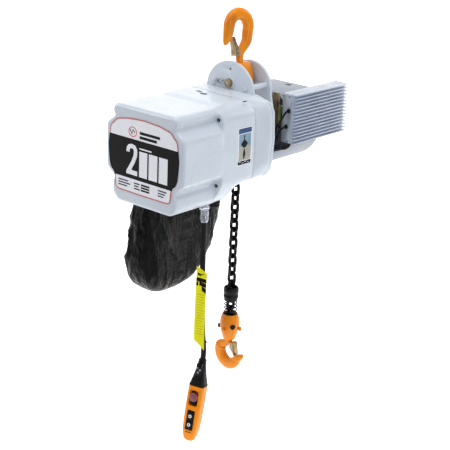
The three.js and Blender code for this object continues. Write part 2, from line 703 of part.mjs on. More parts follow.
function heatSink() {
  const { x, y, z, fin, fins } = INVERTER;
  const step = (z[1] - z[0] - 3) / (fins - 1);
  const base = x[1] - 4 + GAP;
  const outline = [[base, z[0]], [base, z[1]]];
  for (let k = fins - 1; k >= 0; k--) {
    const low = z[0] + k * step;
    outline.push([x[1] + fin, low + 3], [x[1] + fin, low]);
    if (k > 0) outline.push([x[1] + 1, low], [x[1] + 1, low - step + 3]);
  }
  return prismY(outline, y[0], y[1]);
}

// Two black leads leave the drive box and drop to a loom that enters the rear housing.
function inverterLeads() {
  const [[ux, uz], [lx, lz]] = LEAD_PORTS;
  const y = INVERTER.y[0] - 12;
  const upper = tube([[ux, y + 8, uz], [ux - 2, y, uz - 4], [ux - 18, y - 6, uz - 34],
    [ux - 32, y - 10, uz - 68], [90, 68, -190], [84, 68, -202]], 3, 6, 10);
  const lower = tube([[lx, y + 8, lz], [lx - 3, y, lz - 3], [lx - 14, y - 4, lz - 18],
    [92, 72, -185], [84, 68, -202]], 3, 6, 8);
  const loom = tube([[84, 68, -202], [104, 74, -205], [117, 84, -205], [120, 98, -202],
    [116, 112, -198]], 5, 8, 10);
  return join(upper, lower, loom);
}

function grommet([x, z]) {
  const { y } = INVERTER;
  return cut(rodY(7, x, z, y[0] - 4, y[0] - GAP, 14), rodY(3.9, x, z, y[0] - 6, y[0] + 2, 12));
}

// ---------------------------------------------------------------- chain bag

// Plan of the bag at a height: a rounded oblong, long in Y, as a ring of points.
function bagRing(z, [x0, x1], [y0, y1], inset = 0) {
  const [a, b] = [(x1 - x0) / 2 - inset, (y1 - y0) / 2 - inset];
  const [cx, cy] = [(x0 + x1) / 2, (y0 + y1) / 2];
  return Array.from({ length: 20 }, (_, k) => {
    const angle = (2 * Math.PI * k) / 20;
    const round = (v) => Math.sign(v) * Math.abs(v) ** 0.55;
    return new THREE.Vector3(
      cx + a * round(Math.cos(angle)), cy + b * round(Math.sin(angle)), z);
  });
}

const BAG_LEVELS = [
  [BAG.mouthZ, [-158, -46], [-322, 29]],
  [-430, [-164, -42], [-335, 10]],
  [-520, [-168, -40], [-346, -26]],
  [-590, [-164, -42], [-344, -54]],
  [-630, [-150, -56], [-326, -100]],
  [BAG.bottomZ, [-122, -84], [-286, -170]],
];

function chainBag() {
  const outer = skin(BAG_LEVELS.map(([z, x, y]) => bagRing(z, x, y)));
  const inner = skin(BAG_LEVELS.map(([z, x, y], k) =>
    bagRing(k === 0 ? z + 5 : z + (k === BAG_LEVELS.length - 1 ? 5 : 0), x, y, BAG.wall)));
  return cut(outer, inner);
}

function bagBracket() {
  const [, x, y] = BAG_LEVELS[0];
  const z = BAG.mouthZ + GAP;
  const ring = skin([bagRing(z, x, y, -3), bagRing(z + 5, x, y, -3)]);
  const hole = skin([bagRing(z - 1, x, y, 6), bagRing(z + 6, x, y, 6)]);
  const top = BODY.bottom - GAP;
  const arms = [-258, -202].flatMap((ay) => [-70, -112].map((ax) =>
    block(ax - 6, ax + 6, ay, ay + 4, z + 1, top)));
  const rails = [-258, -202].map((ay) => block(x[0] + 4, x[1] - 4, ay - 8, ay + 12, z + 1, z + 5));
  const feet = [-258, -202].map((ay) => block(-118, -64, ay - 8, ay + 12, top - 4, top));
  return join(cut(ring, hole), ...rails, ...arms, ...feet);
}

// ---------------------------------------------------------------- pendant

const CABLE_ROUTE = [
  [90, -245, -375.3], [90, -245, -396], [90.2, -245, -440], [91, -245.5, -510],
  [92.5, -245, -590], [94.5, -243.5, -670], [96.4, -240, -740], [97.5, -235.4, -780],
  [98, -235, -804], [98, -236.8, -820.6],
];

function cableGland() {
  const { x, y, bottom } = GLAND;
  const top = BODY.bottom - GAP;
  const body = turned([
    [0, bottom], [10.6, bottom], [12, bottom + 4], [12, bottom + 17], [11, bottom + 19],
    [13, bottom + 21], [13, bottom + 34], [11.4, bottom + 36], [11.4, top], [9.5, top],
    [9.5, top + 14], [0, top + 14],
  ], 16).translate(x, y, 0);
  return cut(body, rodZ(9.2, x, y, bottom - 1, bottom + 3.2, 16));
}

function roundedRing(z, width, depth, power = 0.45) {
  return Array.from({ length: 20 }, (_, k) => {
    const angle = (2 * Math.PI * k) / 20;
    const round = (v) => Math.sign(v) * Math.abs(v) ** power;
    return new THREE.Vector3(
      (width / 2) * round(Math.cos(angle)), (depth / 2) * round(Math.sin(angle)), z);
  });
}

function addPendant() {
  const { z, lean, turn, boot, length, width, depth } = PENDANT;
  const group = new THREE.Group();
  group.position.set(PENDANT.x, PENDANT.y, z);
  group.rotation.set(lean, 0, turn);
  hoist.add(group);

  const bootSkin = skin([
    roundedRing(0, 23, 23, 1), roundedRing(-22, 27, 26, 0.8), roundedRing(-52, 37, 35, 0.6),
    roundedRing(-boot + GAP, width - 2, depth - 2),
  ]);
  add(group, "pendant_boot", bootSkin, blackRubber);

  const top = -boot;
  const end = top - length;
  const body = skin([
    roundedRing(top, width, depth), roundedRing(top - 70, width, depth),
    roundedRing(end + 46, width - 3, depth - 3), roundedRing(end + 16, width - 11, depth - 9),
    roundedRing(end, width - 22, depth - 18),
  ]);
  const face = -depth / 2;
  const stopZ = top - 34;
  const stopPocket = block(-15.5, 15.5, face - 5, face + 14, stopZ - 30, stopZ + 22);
  const padZ = top - 110;
  const padPocket = block(-12.5, 12.5, face - 5, face + 12, padZ - 32, padZ + 32);
  const hollow = block(-15, 15, face + 16, 14, end + 30, top - 6);
  const split = 3;
  const frontHalf = block(-60, 60, -60, split, end - 9, top + 9);
  const backHalf = block(-60, 60, split + GAP, 60, end - 9, top + 9);
  const shell = cut(body, hollow);
  add(group, "pendant_front", cut(keep(shell, frontHalf), stopPocket, padPocket), pendantOrange);
  add(group, "pendant_back", keep(shell, backHalf), pendantOrange);

  const stopBase = join(
    block(-8, 8, face + 11, face + 14 - GAP, stopZ - 27, stopZ + 8),
    rodY(6.5, 0, stopZ - 20, face + 4, face + 12, 12));
  add(group, "stop_collar", stopBase, blackPlastic);
  const mushroom = turned([[0, 0], [4, 0], [4, 6], [10, 7], [14, 10], [14, 14], [11, 17],
    [0, 18]], 20).rotateX(Math.PI / 2).translate(0, face + 11 - GAP, stopZ);
  add(group, "stop_button", mushroom, stopRed);

  const seats = [["up_button", padZ + 14], ["down_button", padZ - 14]];
  const pad = block(-12.2, 12.2, face - 1, face + 12 - GAP, padZ - 31.7, padZ + 31.7);
  const wells = seats.map(([, bz]) => block(-9.3, 9.3, face - 5, face + 8, bz - 11.3, bz + 11.3));
  add(group, "button_pad", cut(pad, ...wells), blackPlastic);
  for (const [name, bz] of seats) {
    add(group, name, block(-9, 9, face - 4, face + 4.5, bz - 11, bz + 11), blackPlastic);
  }
}

function cableTag() {
  const toward = new THREE.Vector3(Math.sin(40 * DEG), -Math.cos(40 * DEG), 0);
  const side = new THREE.Vector3(Math.cos(40 * DEG), Math.sin(40 * DEG), 0);
  const centre = new THREE.Vector3(GLAND.x, -245.8, 0);
  const outline = [[-16, -778], [-16, -512], [16, -536], [16, -784]];
  return skin([CABLE_RADIUS + 3.6, CABLE_RADIUS + 4.6].map((out) => outline.map(([s, z]) =>
    centre.clone().addScaledVector(toward, out).addScaledVector(side, s)
      .add(new THREE.Vector3(0, 0, z)))));
}

// ---------------------------------------------------------------- assembly

add(hoist, "front_cover", frontCover(), paint);
add(hoist, "gear_case", gearCase(), paint);
SCREWS.forEach(([x, z], k) => {
  const y = COVER.step - GAP;
  add(hoist, `cover_screw_${k + 1}`,
    join(rodY(5, x, z, y - 6, y, 12), rodY(3, x, z, y - 1, y + 20, 10)), darkSteel);
});

const NAMEPLATE_HALF = [
  [0, -60], [60, -64], [100, -72], [112, -76], [117, -86], [132, -94], [137, -150],
  [134, -200], [127, -219], [115, -226], [110, -240], [107, -276], [0, -278],
];
add(hoist, "nameplate",
  prismY(whole(NAMEPLATE_HALF), COVER.front - GAP - 1, COVER.front - GAP), paint);

const rimOutline = whole(RIM_HALF);
add(hoist, "front_frame_plate", framePlate(rimOutline, PLATE.ear, PLATE.front), paint);
add(hoist, "rear_frame_plate",
  framePlate(REAR_PLATE_OUTLINE, PLATE.rearEar, PLATE.rear), paint);
add(hoist, "spacer_tube_right", spacerTube(SPACER.x), paint);
add(hoist, "spacer_tube_left", spacerTube(-SPACER.x), paint);
add(hoist, "suspension_pin", suspensionPin(), zinc);
add(hoist, "pin_keeper", pinKeeper(), steel);
add(hoist, "sheave_bearing", bearing(PLATE.front), steel);
add(hoist, "chain_guide", chainGuide(), darkSteel);
add(hoist, "load_sheave", loadSheave(), steel);
addGearTrain();
addMotor();

add(hoist, "slack_chain", slackChain(), darkSteel);
add(hoist, "chain_bag", chainBag(), bagCloth);
add(hoist, "bag_bracket", bagBracket(), darkSteel);

const leaning = new THREE.Group();
leaning.rotation.y = -HOOK_LEAN;
hoist.add(leaning);
add(leaning, "hook_yoke", hookYoke(), orangePaint);
add(leaning, "top_hook", topHook(), orangePaint);
add(leaning, "top_latch",
  latch([13, TOP_HOOK.neck + 4], [17, TOP_HOOK.neck + 56], 23, 1, topPlane), zinc);

add(hoist, "load_chain", loadChain(), darkSteel);
add(hoist, "stop_buffer", stopBuffer(), blackRubber);
add(hoist, "buffer_spring", bufferSpring(), darkSteel);
const turnedBlock = new THREE.Group();
turnedBlock.rotation.z = BLOCK.turn;
hoist.add(turnedBlock);
const blockDepth = [[-90, -GAP / 2], [GAP / 2, 90]];
blockDepth.forEach(([y0, y1], k) => {
  const half = keep(blockShell(), block(-90, 90, y0, y1, -1000, -700));
  add(turnedBlock, `block_half_${k + 1}`, half, orangePaint);
});
BLOCK_BOLTS.forEach((x, k) => add(turnedBlock, `block_bolt_${k + 1}`, blockBolt(x), darkSteel));
add(turnedBlock, "chain_pin", rodX(6, 0, CHAIN_PIN_Z, -27, 27, 14), darkSteel);

const turnedHook = new THREE.Group();
turnedHook.rotation.z = LOAD_HOOK.turn;
hoist.add(turnedHook);
const loadPlane = (t, h, s) => new THREE.Vector3(t, s, h);
add(turnedHook, "load_hook", loadHook(), orangePaint);
add(turnedHook, "load_latch", latch([15, LOAD_HOOK.neckZ - 9], [22, LOAD_HOOK.neckZ - 45], 23, -1,
  loadPlane), zinc);

add(hoist, "rear_housing", rearHousing(), paint);
add(hoist, "inverter_box", inverterBox(), aluminium);
add(hoist, "heat_sink", heatSink(), aluminium);
LEAD_PORTS.forEach((port, k) => add(hoist, `grommet_${k + 1}`, grommet(port), blackRubber));
add(hoist, "inverter_leads", inverterLeads(), blackRubber);
add(hoist, "contactor_plate", block(50, 88, 84, 87, -157, -37), zinc);
add(hoist, "contactor", block(52, 86, 87.3, 112, -140, -82), boardGreen);
add(hoist, "cable_gland", cableGland(), steel);
add(hoist, "power_inlet", turned([[0, -347], [10, -347], [15, -340], [15, -325], [12, -319.5],
  [0, -319.5]], 16).translate(78, -186, 0), blackRubber);
add(hoist, "pendant_cable", tube(CABLE_ROUTE, CABLE_RADIUS, 10, 18), blackRubber);
add(hoist, "cable_tag", cableTag(), tagYellow);
addPendant();

// The origin moves to the seat of the top hook, where the hoist hangs.
const root = new THREE.Group();
hoist.position.set(
  TOP_HOOK.seat * Math.sin(HOOK_LEAN), 0, -TOP_HOOK.seat * Math.cos(HOOK_LEAN));
root.add(hoist);

export default root;
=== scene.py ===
# %% [markdown]
# # An electric chain hoist, hanging from its top hook
# The solids of the hoist come in as a fixed frame. Each step below dresses one piece of it:
# the mesh that is seen, and the finish on it. Lengths inside the steps are in millimetres
# from the axis of the suspension pin, and `row()` turns them into metres in the shared frame.

# %%
import bpy
import bmesh
import math
from mathutils import Matrix, Vector, noise


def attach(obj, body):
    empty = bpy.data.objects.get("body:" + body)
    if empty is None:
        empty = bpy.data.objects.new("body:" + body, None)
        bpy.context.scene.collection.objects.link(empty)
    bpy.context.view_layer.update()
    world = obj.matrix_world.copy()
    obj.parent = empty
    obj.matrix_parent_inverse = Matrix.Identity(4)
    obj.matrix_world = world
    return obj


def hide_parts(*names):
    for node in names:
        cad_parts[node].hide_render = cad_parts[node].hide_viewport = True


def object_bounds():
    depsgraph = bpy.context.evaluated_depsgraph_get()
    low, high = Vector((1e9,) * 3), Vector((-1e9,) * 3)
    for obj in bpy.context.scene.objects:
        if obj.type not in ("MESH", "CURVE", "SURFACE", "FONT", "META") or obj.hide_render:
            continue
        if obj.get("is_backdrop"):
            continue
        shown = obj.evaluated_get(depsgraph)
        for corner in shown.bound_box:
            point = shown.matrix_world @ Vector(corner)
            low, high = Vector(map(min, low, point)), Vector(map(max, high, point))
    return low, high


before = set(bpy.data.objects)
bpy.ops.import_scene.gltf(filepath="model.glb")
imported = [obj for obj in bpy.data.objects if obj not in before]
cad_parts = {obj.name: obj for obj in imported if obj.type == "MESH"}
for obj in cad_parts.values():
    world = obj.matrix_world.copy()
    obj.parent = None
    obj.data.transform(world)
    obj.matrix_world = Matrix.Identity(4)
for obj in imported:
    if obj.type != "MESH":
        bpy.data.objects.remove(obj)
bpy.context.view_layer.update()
print("frame loaded:", len(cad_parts), "solids")

# %% [markdown]
# ## The camera
# The hoist is seen from its front right corner and a little above, from almost four metres
# away, so that the lens is a long one and upright edges stay nearly parallel.

# %%
LEAN = math.radians(6)
PIN_TO_SEAT = 182
SEAT = Vector((PIN_TO_SEAT * math.sin(LEAN), 0, -PIN_TO_SEAT * math.cos(LEAN)))
CAMERA_AT = (2.340, -2.756, 0.6157)
CAMERA_TURN = (40.56, 19.35, 2.39)


def row(point):
    """Millimetres from the pin's axis to metres in the shared frame."""
    return (Vector(point) + SEAT) / 1000


def aim_camera():
    azimuth, pitch, roll = (math.radians(a) for a in CAMERA_TURN)
    back = Vector((math.sin(azimuth) * math.cos(pitch),
                   -math.cos(azimuth) * math.cos(pitch), math.sin(pitch)))
    right = Vector((math.cos(azimuth), math.sin(azimuth), 0))
    up = back.cross(right)
    across = right * math.cos(roll) + up * math.sin(roll)
    upward = up * math.cos(roll) - right * math.sin(roll)
    camera = bpy.data.objects.new("studio_camera", bpy.data.cameras.new("studio_camera"))
    bpy.context.scene.collection.objects.link(camera)
    turn = Matrix((across, upward, back)).transposed().to_4x4()
    camera.matrix_world = Matrix.Translation(CAMERA_AT) @ turn
    camera.data.sensor_width = 36
    camera.data.lens = 96.24
    camera.data.clip_end = 60
    bpy.context.scene.camera = camera
    return camera


print("camera stands at", [round(v, 2) for v in aim_camera().location])

# %% [markdown]
# ## Tools for meshes
# Every shape is made of points and faces. `solid` turns them into an object, `dressed` takes
# a copy of a solid from the frame and rounds its edges, and `place` says which body a piece
# moves with and which solid it stands for. `add` makes a piece and places it in one call.

# %%
def solid(name, points, faces, material, sharp=35, frame_of=row):
    mesh = bpy.data.meshes.new(name)
    mesh.from_pydata([frame_of(p) for p in points], [], faces)
    mesh.validate()
    shape = bmesh.new()
    shape.from_mesh(mesh)
    bmesh.ops.recalc_face_normals(shape, faces=shape.faces)
    shape.to_mesh(mesh)
    shape.free()
    mesh.shade_smooth()
    mesh.set_sharp_from_angle(angle=math.radians(sharp))
    mesh.materials.append(material)
    piece = bpy.data.objects.new(name, mesh)
    bpy.context.scene.collection.objects.link(piece)
    return piece


def settle(piece):
    """Turns a piece with modifiers, or a curve, into a plain mesh."""
    bpy.context.view_layer.update()
    graph = bpy.context.evaluated_depsgraph_get()
    mesh = bpy.data.meshes.new_from_object(piece.evaluated_get(graph))
    piece.modifiers.clear()
    piece.data = mesh
    return piece


def round_edges(piece, width, segments=2, angle=32):
    bevel = piece.modifiers.new("round", "BEVEL")
    bevel.width = width / 1000
    bevel.segments = segments
    bevel.limit_method = "ANGLE"
    bevel.angle_limit = math.radians(angle)
    bevel.harden_normals = False
    settle(piece)
    piece.data.shade_smooth()
    piece.data.set_sharp_from_angle(angle=math.radians(50))
    return piece


def place(piece, body, nodes=(), slot=None):
    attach(piece, body)
    if nodes:
        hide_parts(*nodes)
    return piece


def add(name, shape, material, body="frame", nodes=(), slot=None, sharp=35, frame_of=row):
    """One piece from points and faces."""
    piece = solid(name, *shape, material, sharp, frame_of)
    return place(piece, body, nodes, slot or SLOT_OF[material.name])


def dressed(node, body, material, width=0.6, slot=None):
    piece = bpy.data.objects.new(node + "_dressed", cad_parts[node].data.copy())
    piece.data.materials.clear()
    piece.data.materials.append(material)
    bpy.context.scene.collection.objects.link(piece)
    weld = piece.modifiers.new("weld", "WELD")
    weld.merge_threshold = 0.00002
    dissolve = piece.modifiers.new("flatten", "DECIMATE")
    dissolve.decimate_type = "DISSOLVE"
    dissolve.angle_limit = math.radians(0.5)
    settle(piece)
    round_edges(piece, width)
    return place(piece, body, [node], slot or SLOT_OF[material.name])


# %% [markdown]
# ## Shapes from sections
# `skin` closes a row of rings into one surface, `lathe` turns a profile about an axis, and
# `tube` follows a line. They return points and faces, ready for `solid`.

# %%
def skin(rings, caps=(True, True)):
    count = len(rings[0])
    points = [p for ring in rings for p in ring]
    faces = []
    for i in range(len(rings) - 1):
        for j in range(count):
            k = (j + 1) % count
            faces.append((i * count + j, i * count + k, (i + 1) * count + k, (i + 1) * count + j))
    if caps[0]:
        faces.append(tuple(reversed(range(count))))
    if caps[1]:
        faces.append(tuple(range(len(points) - count, len(points))))
    return points, faces


def lathe(profile, sides=64, start=0.0, end=2 * math.pi):
    """Turns (radius, z) pairs, from the axis out and back, about Z."""
    whole = end - start > 6.28
    steps = sides if whole else sides + 1
    columns = [start + (end - start) * j / sides for j in range(steps)]
    points = [(r * math.cos(a), r * math.sin(a), z) for r, z in profile for a in columns]
    faces = []
    for i in range(len(profile) - 1):
        for j in range(sides):
            k = (j + 1) % steps
            faces.append((i * steps + j, i * steps + k, (i + 1) * steps + k, (i + 1) * steps + j))
    if not whole:
        faces.append(tuple(i * steps for i in range(len(profile))))
        faces.append(tuple(i * steps + sides for i in reversed(range(len(profile)))))
    return points, faces


def smooth_line(points, per_span=8):
    """More points along a rounded line through the given ones, of any dimension."""
    line = []
    for i in range(len(points) - 1):
        p0 = points[max(i - 1, 0)]
        p1 = points[i]
        p2 = points[i + 1]
        p3 = points[min(i + 2, len(points) - 1)]
        for s in range(per_span):
            t = s / per_span
            line.append(tuple(0.5 * (2 * b + (c - a) * t + (2 * a - 5 * b + 4 * c - d) * t * t
                                     + (3 * b - a - 3 * c + d) * t ** 3)
                              for a, b, c, d in zip(p0, p1, p2, p3)))
    line.append(tuple(points[-1]))
    return line


def tube(line, radius, sides=12):
    rings = []
    side = None
    for i, here in enumerate(line):
        before = Vector(line[max(i - 1, 0)])
        after = Vector(line[min(i + 1, len(line) - 1)])
        along = (after - before).normalized()
        if side is None:
            side = along.orthogonal().normalized()
        side = (side - along * side.dot(along)).normalized()
        other = along.cross(side)
        turn = [2 * math.pi * s / sides for s in range(sides)]
        rings.append([Vector(here) + side * radius * math.cos(a) + other * radius * math.sin(a)
                      for a in turn])
    return skin(rings)


def moved(shape, matrix):
    points, faces = shape
    return [matrix @ Vector(p) for p in points], faces


def turned(profile, sides, spot, quarter=0):
    """A lathed shape at a spot. Its axis points up, or a quarter turn forward or back."""
    stand = Matrix.Translation(spot) @ Matrix.Rotation(quarter * math.pi / 2, 4, "X")
    return moved(lathe(profile, sides), stand)


def joined(*shapes):
    points, faces = [], []
    for more_points, more_faces in shapes:
        base = len(points)
        points += list(more_points)
        faces += [tuple(base + k for k in face) for face in more_faces]
    return points, faces


def slab(x0, x1, y0, y1, z0, z1):
    points = [(x, y, z) for z in (z0, z1) for y in (y0, y1) for x in (x0, x1)]
    faces = [(0, 2, 3, 1), (4, 5, 7, 6), (0, 1, 5, 4), (2, 6, 7, 3), (0, 4, 6, 2), (1, 3, 7, 5)]
    return points, faces


def film(rows, columns, layers, point):
    """A thin closed sheet. `point` gives the place of (share across, share along, layer)."""
    points = [point(j / columns, i / rows, layer) for layer in layers
              for i in range(rows + 1) for j in range(columns + 1)]
    width = columns + 1
    back = width * (rows + 1)
    faces = []
    for i in range(rows):
        for j in range(columns):
            k = i * width + j
            faces.append((k, k + 1, k + width + 1, k + width))
            faces.append((back + k, back + k + width, back + k + width + 1, back + k + 1))
    rim = [*range(width), *[i * width + columns for i in range(1, rows + 1)],
           *[rows * width + j for j in range(columns - 1, -1, -1)],
           *[i * width for i in range(rows - 1, 0, -1)]]
    faces += [(a, back + a, back + b, b) for a, b in zip(rim, rim[1:] + rim[:1])]
    return points, faces


def carve(piece, *cutters):
    """Takes other solids away from a piece, and removes them."""
    for cutter in cutters:
        cut = piece.modifiers.new("cut", "BOOLEAN")
        cut.operation = "DIFFERENCE"
        cut.object = cutter
        cut.solver = "EXACT"
    settle(piece)
    for cutter in cutters:
        bpy.data.objects.remove(cutter)
    piece.data.shade_smooth()
    piece.data.set_sharp_from_angle(angle=math.radians(35))
    return piece


# %% [markdown]
# ## Finishes, part one: the shared effects
# Three effects are used over and over, so each is a node group with named inputs. *Paint
# skin* is the faint ripple and dust on sprayed paint. *Metal skin* is the streaking and
# staining of worked metal. *Moulded skin* is the fine grain of rubber and plastic.

# %%
def linear(r, g, b):
    """A colour on the 0 to 255 scale, as the renderer wants it."""
    return tuple(((c / 255) ** 2.2) for c in (r, g, b)) + (1.0,)


def start_group(name, inputs):
    """A new group, the sockets it is given, and each point's place on its object."""
    group = bpy.data.node_groups.new(name, "ShaderNodeTree")
    for label, value in inputs.items():
        kind = "Float" if isinstance(value, float) else "Color"
        socket = group.interface.new_socket(label, in_out="INPUT",
                                            socket_type="NodeSocket" + kind)
        socket.default_value = value
    for label, kind in (("Color", "Color"), ("Roughness", "Float"), ("Height", "Float")):
        group.interface.new_socket(label, in_out="OUTPUT", socket_type="NodeSocket" + kind)
    place_of = group.nodes.new("ShaderNodeTexCoord").outputs["Object"]
    return group, group.nodes.new("NodeGroupInput").outputs, place_of


def feed(group, socket, value):
    if isinstance(value, (int, float)):
        socket.default_value = value
    else:
        group.links.new(value, socket)


def add_noise(group, vector, scale, detail=3.0, stretch=None):
    grain = group.nodes.new("ShaderNodeTexNoise")
    grain.inputs["Detail"].default_value = detail
    feed(group, grain.inputs["Scale"], scale)
    if stretch:
        mapping = group.nodes.new("ShaderNodeMapping")
        mapping.inputs["Scale"].default_value = stretch
        group.links.new(vector, mapping.inputs["Vector"])
        vector = mapping.outputs["Vector"]
    group.links.new(vector, grain.inputs["Vector"])
    return grain.outputs["Fac"]


def add_range(group, value, low, high, to_low, to_high):
    """Maps a value from one range to another. The ends may be numbers or sockets."""
    node = group.nodes.new("ShaderNodeMapRange")
    ends = {"Value": value, "From Min": low, "From Max": high, "To Min": to_low, "To Max": to_high}
    for label, end in ends.items():
        feed(group, node.inputs[label], end)
    return node.outputs["Result"]


def add_sum(group, first, second, operation="ADD"):
    node = group.nodes.new("ShaderNodeMath")
    node.operation = operation
    feed(group, node.inputs[0], first)
    feed(group, node.inputs[1], second)
    return node.outputs["Value"]


def end_group(group, given, mask, other, varied, spread, height):
    """Mixes in the other colour by the mask, varies the roughness, and wires the outputs."""
    mix = group.nodes.new("ShaderNodeMix")
    mix.data_type = "RGBA"
    for label, value in (("Factor", mask), ("A", given["Color"]), ("B", given[other])):
        group.links.new(value, mix.inputs[label])
    rough = add_sum(group, given["Roughness"], add_range(group, varied, 0, 1, *spread))
    result = group.nodes.new("NodeGroupOutput")
    made = (("Color", mix.outputs["Result"]), ("Roughness", rough), ("Height", height))
    for label, value in made:
        group.links.new(value, result.inputs[label])
    return group


def make_paint_skin():
    group, given, place_of = start_group("Paint skin", {
        "Color": (0.8, 0.8, 0.8, 1), "Dust Color": (0.5, 0.5, 0.5, 1), "Dust": 0.2,
        "Roughness": 0.25, "Peel Scale": 220.0})
    patches = add_noise(group, place_of, 9.0, 4.0)
    specks = add_noise(group, place_of, 700.0, 2.0)
    mask = add_sum(group, add_range(group, patches, 0.5, 0.78, 0.0, given["Dust"]),
                   add_range(group, specks, 0.62, 0.78, 0.0, given["Dust"]), "MAXIMUM")
    peel = add_noise(group, place_of, given["Peel Scale"], 2.0)
    return end_group(group, given, mask, "Dust Color", patches, (-0.04, 0.08), peel)


def make_metal_skin():
    group, given, place_of = start_group("Metal skin", {
        "Color": (0.6, 0.6, 0.6, 1), "Stain Color": (0.3, 0.3, 0.3, 1), "Stain": 0.4,
        "Roughness": 0.35, "Scale": 60.0})
    clouds = add_noise(group, place_of, given["Scale"], 5.0)
    streaks = add_noise(group, place_of, 90.0, 3.0, stretch=(1.0, 1.0, 14.0))
    mask = add_range(group, clouds, 0.42, 0.7, 0.0, given["Stain"])
    relief = add_sum(group, clouds, streaks)
    return end_group(group, given, mask, "Stain Color", streaks, (-0.1, 0.14), relief)


def make_moulded_skin():
    group, given, place_of = start_group("Moulded skin", {
        "Color": (0.05, 0.05, 0.05, 1), "Bloom Color": (0.2, 0.2, 0.2, 1), "Bloom": 0.3,
        "Roughness": 0.5, "Grain Scale": 900.0})
    patches = add_noise(group, place_of, 26.0, 5.0)
    mask = add_range(group, patches, 0.45, 0.8, 0.0, given["Bloom"])
    grain = add_noise(group, place_of, given["Grain Scale"], 2.0)
    return end_group(group, given, mask, "Bloom Color", patches, (-0.06, 0.1), grain)


PAINT_SKIN = make_paint_skin()
METAL_SKIN = make_metal_skin()
MOULDED_SKIN = make_moulded_skin()
print("effects:", [g.name for g in bpy.data.node_groups])

# %% [markdown]
# ## Finishes, part two: the materials
# A material is one principled shader fed by one effect. The numbers that don't vary are set
# straight on its sockets. Colours are given on the 0 to 255 scale. Each material fills one
# slot of the shared list.

# %%
def surface(name, group, values, metallic=0.0, coat=0.0, bump=0.2, reach=0.0004, specular=0.5):
    material = bpy.data.materials.new(name)
    material.use_nodes = True
    tree = material.node_tree
    shader = tree.nodes["Principled BSDF"]
    effect = tree.nodes.new("ShaderNodeGroup")
    effect.node_tree = group
    relief = tree.nodes.new("ShaderNodeBump")
    fixed = {"Metallic": metallic, "Coat Weight": coat, "Coat Roughness": 0.12,
             "Specular IOR Level": specular}
    for node, numbers in ((shader, fixed), (effect, values),
                          (relief, {"Strength": bump, "Distance": reach})):
        for label, value in numbers.items():
            node.inputs[label].default_value = value
    tree.links.new(effect.outputs["Color"], shader.inputs["Base Color"])
    tree.links.new(effect.outputs["Roughness"], shader.inputs["Roughness"])
    tree.links.new(effect.outputs["Height"], relief.inputs["Height"])
    tree.links.new(relief.outputs["Normal"], shader.inputs["Normal"])
    return material


def painted(name, color, dust, amount, rough, coat=0.4, bump=0.12, dim=0.5):
    values = {"Color": linear(*color), "Dust Color": linear(*dust), "Dust": amount,
              "Roughness": rough}
    return surface(name, PAINT_SKIN, values, coat=coat, bump=bump, specular=dim)


def metal(name, color, stain, amount, rough, scale=60.0, bump=0.2, metallic=1.0):
    values = {"Color": linear(*color), "Stain Color": linear(*stain), "Stain": amount,
              "Roughness": rough, "Scale": scale}
    return surface(name, METAL_SKIN, values, metallic=metallic, bump=bump)


def moulded(name, color, bloom, amount, rough, coat=0.0, bump=0.25, dim=0.5):
    values = {"Color": linear(*color), "Bloom Color": linear(*bloom), "Bloom": amount,
              "Roughness": rough}
    return surface(name, MOULDED_SKIN, values, coat=coat, bump=bump, specular=dim)


HOUSING = painted("housing paint", (204, 212, 222), (176, 182, 190), 0.2, 0.24, 0.3)
HOOK_PAINT = painted("hook enamel", (240, 140, 0), (150, 66, 0), 0.7, 0.25, 0.08, 0.4, 0.3)
ZINC = metal("yellow zinc", (176, 154, 112), (104, 84, 84), 0.9, 0.3, 46.0)
BLACK_STEEL = metal("blackened steel", (38, 38, 41), (84, 78, 74), 0.3, 0.3, 90.0)
STEEL = metal("bright steel", (186, 190, 198), (112, 114, 122), 0.6, 0.24, 80.0)
CAST = metal("bare casting", (150, 153, 158), (104, 106, 110), 0.6, 0.55, 50.0, 0.5)
ALUMINIUM = metal("extruded aluminium", (206, 211, 219), (168, 174, 186), 0.5, 0.42, 30.0, 0.2, 0.55)
FIN_METAL = metal("fin aluminium", (204, 211, 224), (170, 178, 194), 0.45, 0.42, 24.0, 0.2, 0.6)
RUBBER = moulded("black rubber", (15, 15, 17), (44, 44, 47), 0.35, 0.46, dim=0.22)
PLASTIC = moulded("black plastic", (10, 11, 13), (32, 33, 36), 0.3, 0.3, dim=0.24)
PENDANT = moulded("pendant plastic", (250, 144, 0), (222, 116, 0), 0.4, 0.3, 0.05, dim=0.25)
STOP = moulded("stop button", (136, 76, 82), (104, 54, 58), 0.5, 0.34, 0.1)
WHITE_INK = moulded("white ink", (240, 240, 246), (222, 222, 230), 0.3, 0.4)
BLACK_INK = moulded("black ink", (13, 10, 13), (26, 22, 26), 0.4, 0.34, dim=0.14)
ORANGE_INK = moulded("orange red ink", (216, 70, 44), (196, 60, 40), 0.3, 0.4)
BLUE_INK = moulded("blue ink", (54, 84, 128), (40, 62, 100), 0.5, 0.35, dim=0.3)
TAG = moulded("yellow card", (242, 236, 0), (206, 202, 0), 0.4, 0.42, dim=0.3)
BOARD = moulded("circuit board", (96, 120, 60), (40, 54, 34), 0.6, 0.5)
WIRE_RED = moulded("red wire", (180, 40, 34), (130, 30, 26), 0.3, 0.4)
MATERIALS_IN = {
    "housing_paint": [HOUSING], "hook_paint": [HOOK_PAINT], "zinc": [ZINC],
    "black_steel": [BLACK_STEEL], "bright_steel": [STEEL], "cast_iron": [CAST],
    "heat_sink_aluminium": [ALUMINIUM, FIN_METAL], "rubber": [RUBBER], "black_plastic": [PLASTIC],
    "pendant_plastic": [PENDANT], "stop_red": [STOP], "tag_yellow": [TAG],
    "electronics": [BOARD, WIRE_RED],
    "nameplate_print": [WHITE_INK, BLACK_INK, ORANGE_INK, BLUE_INK]}
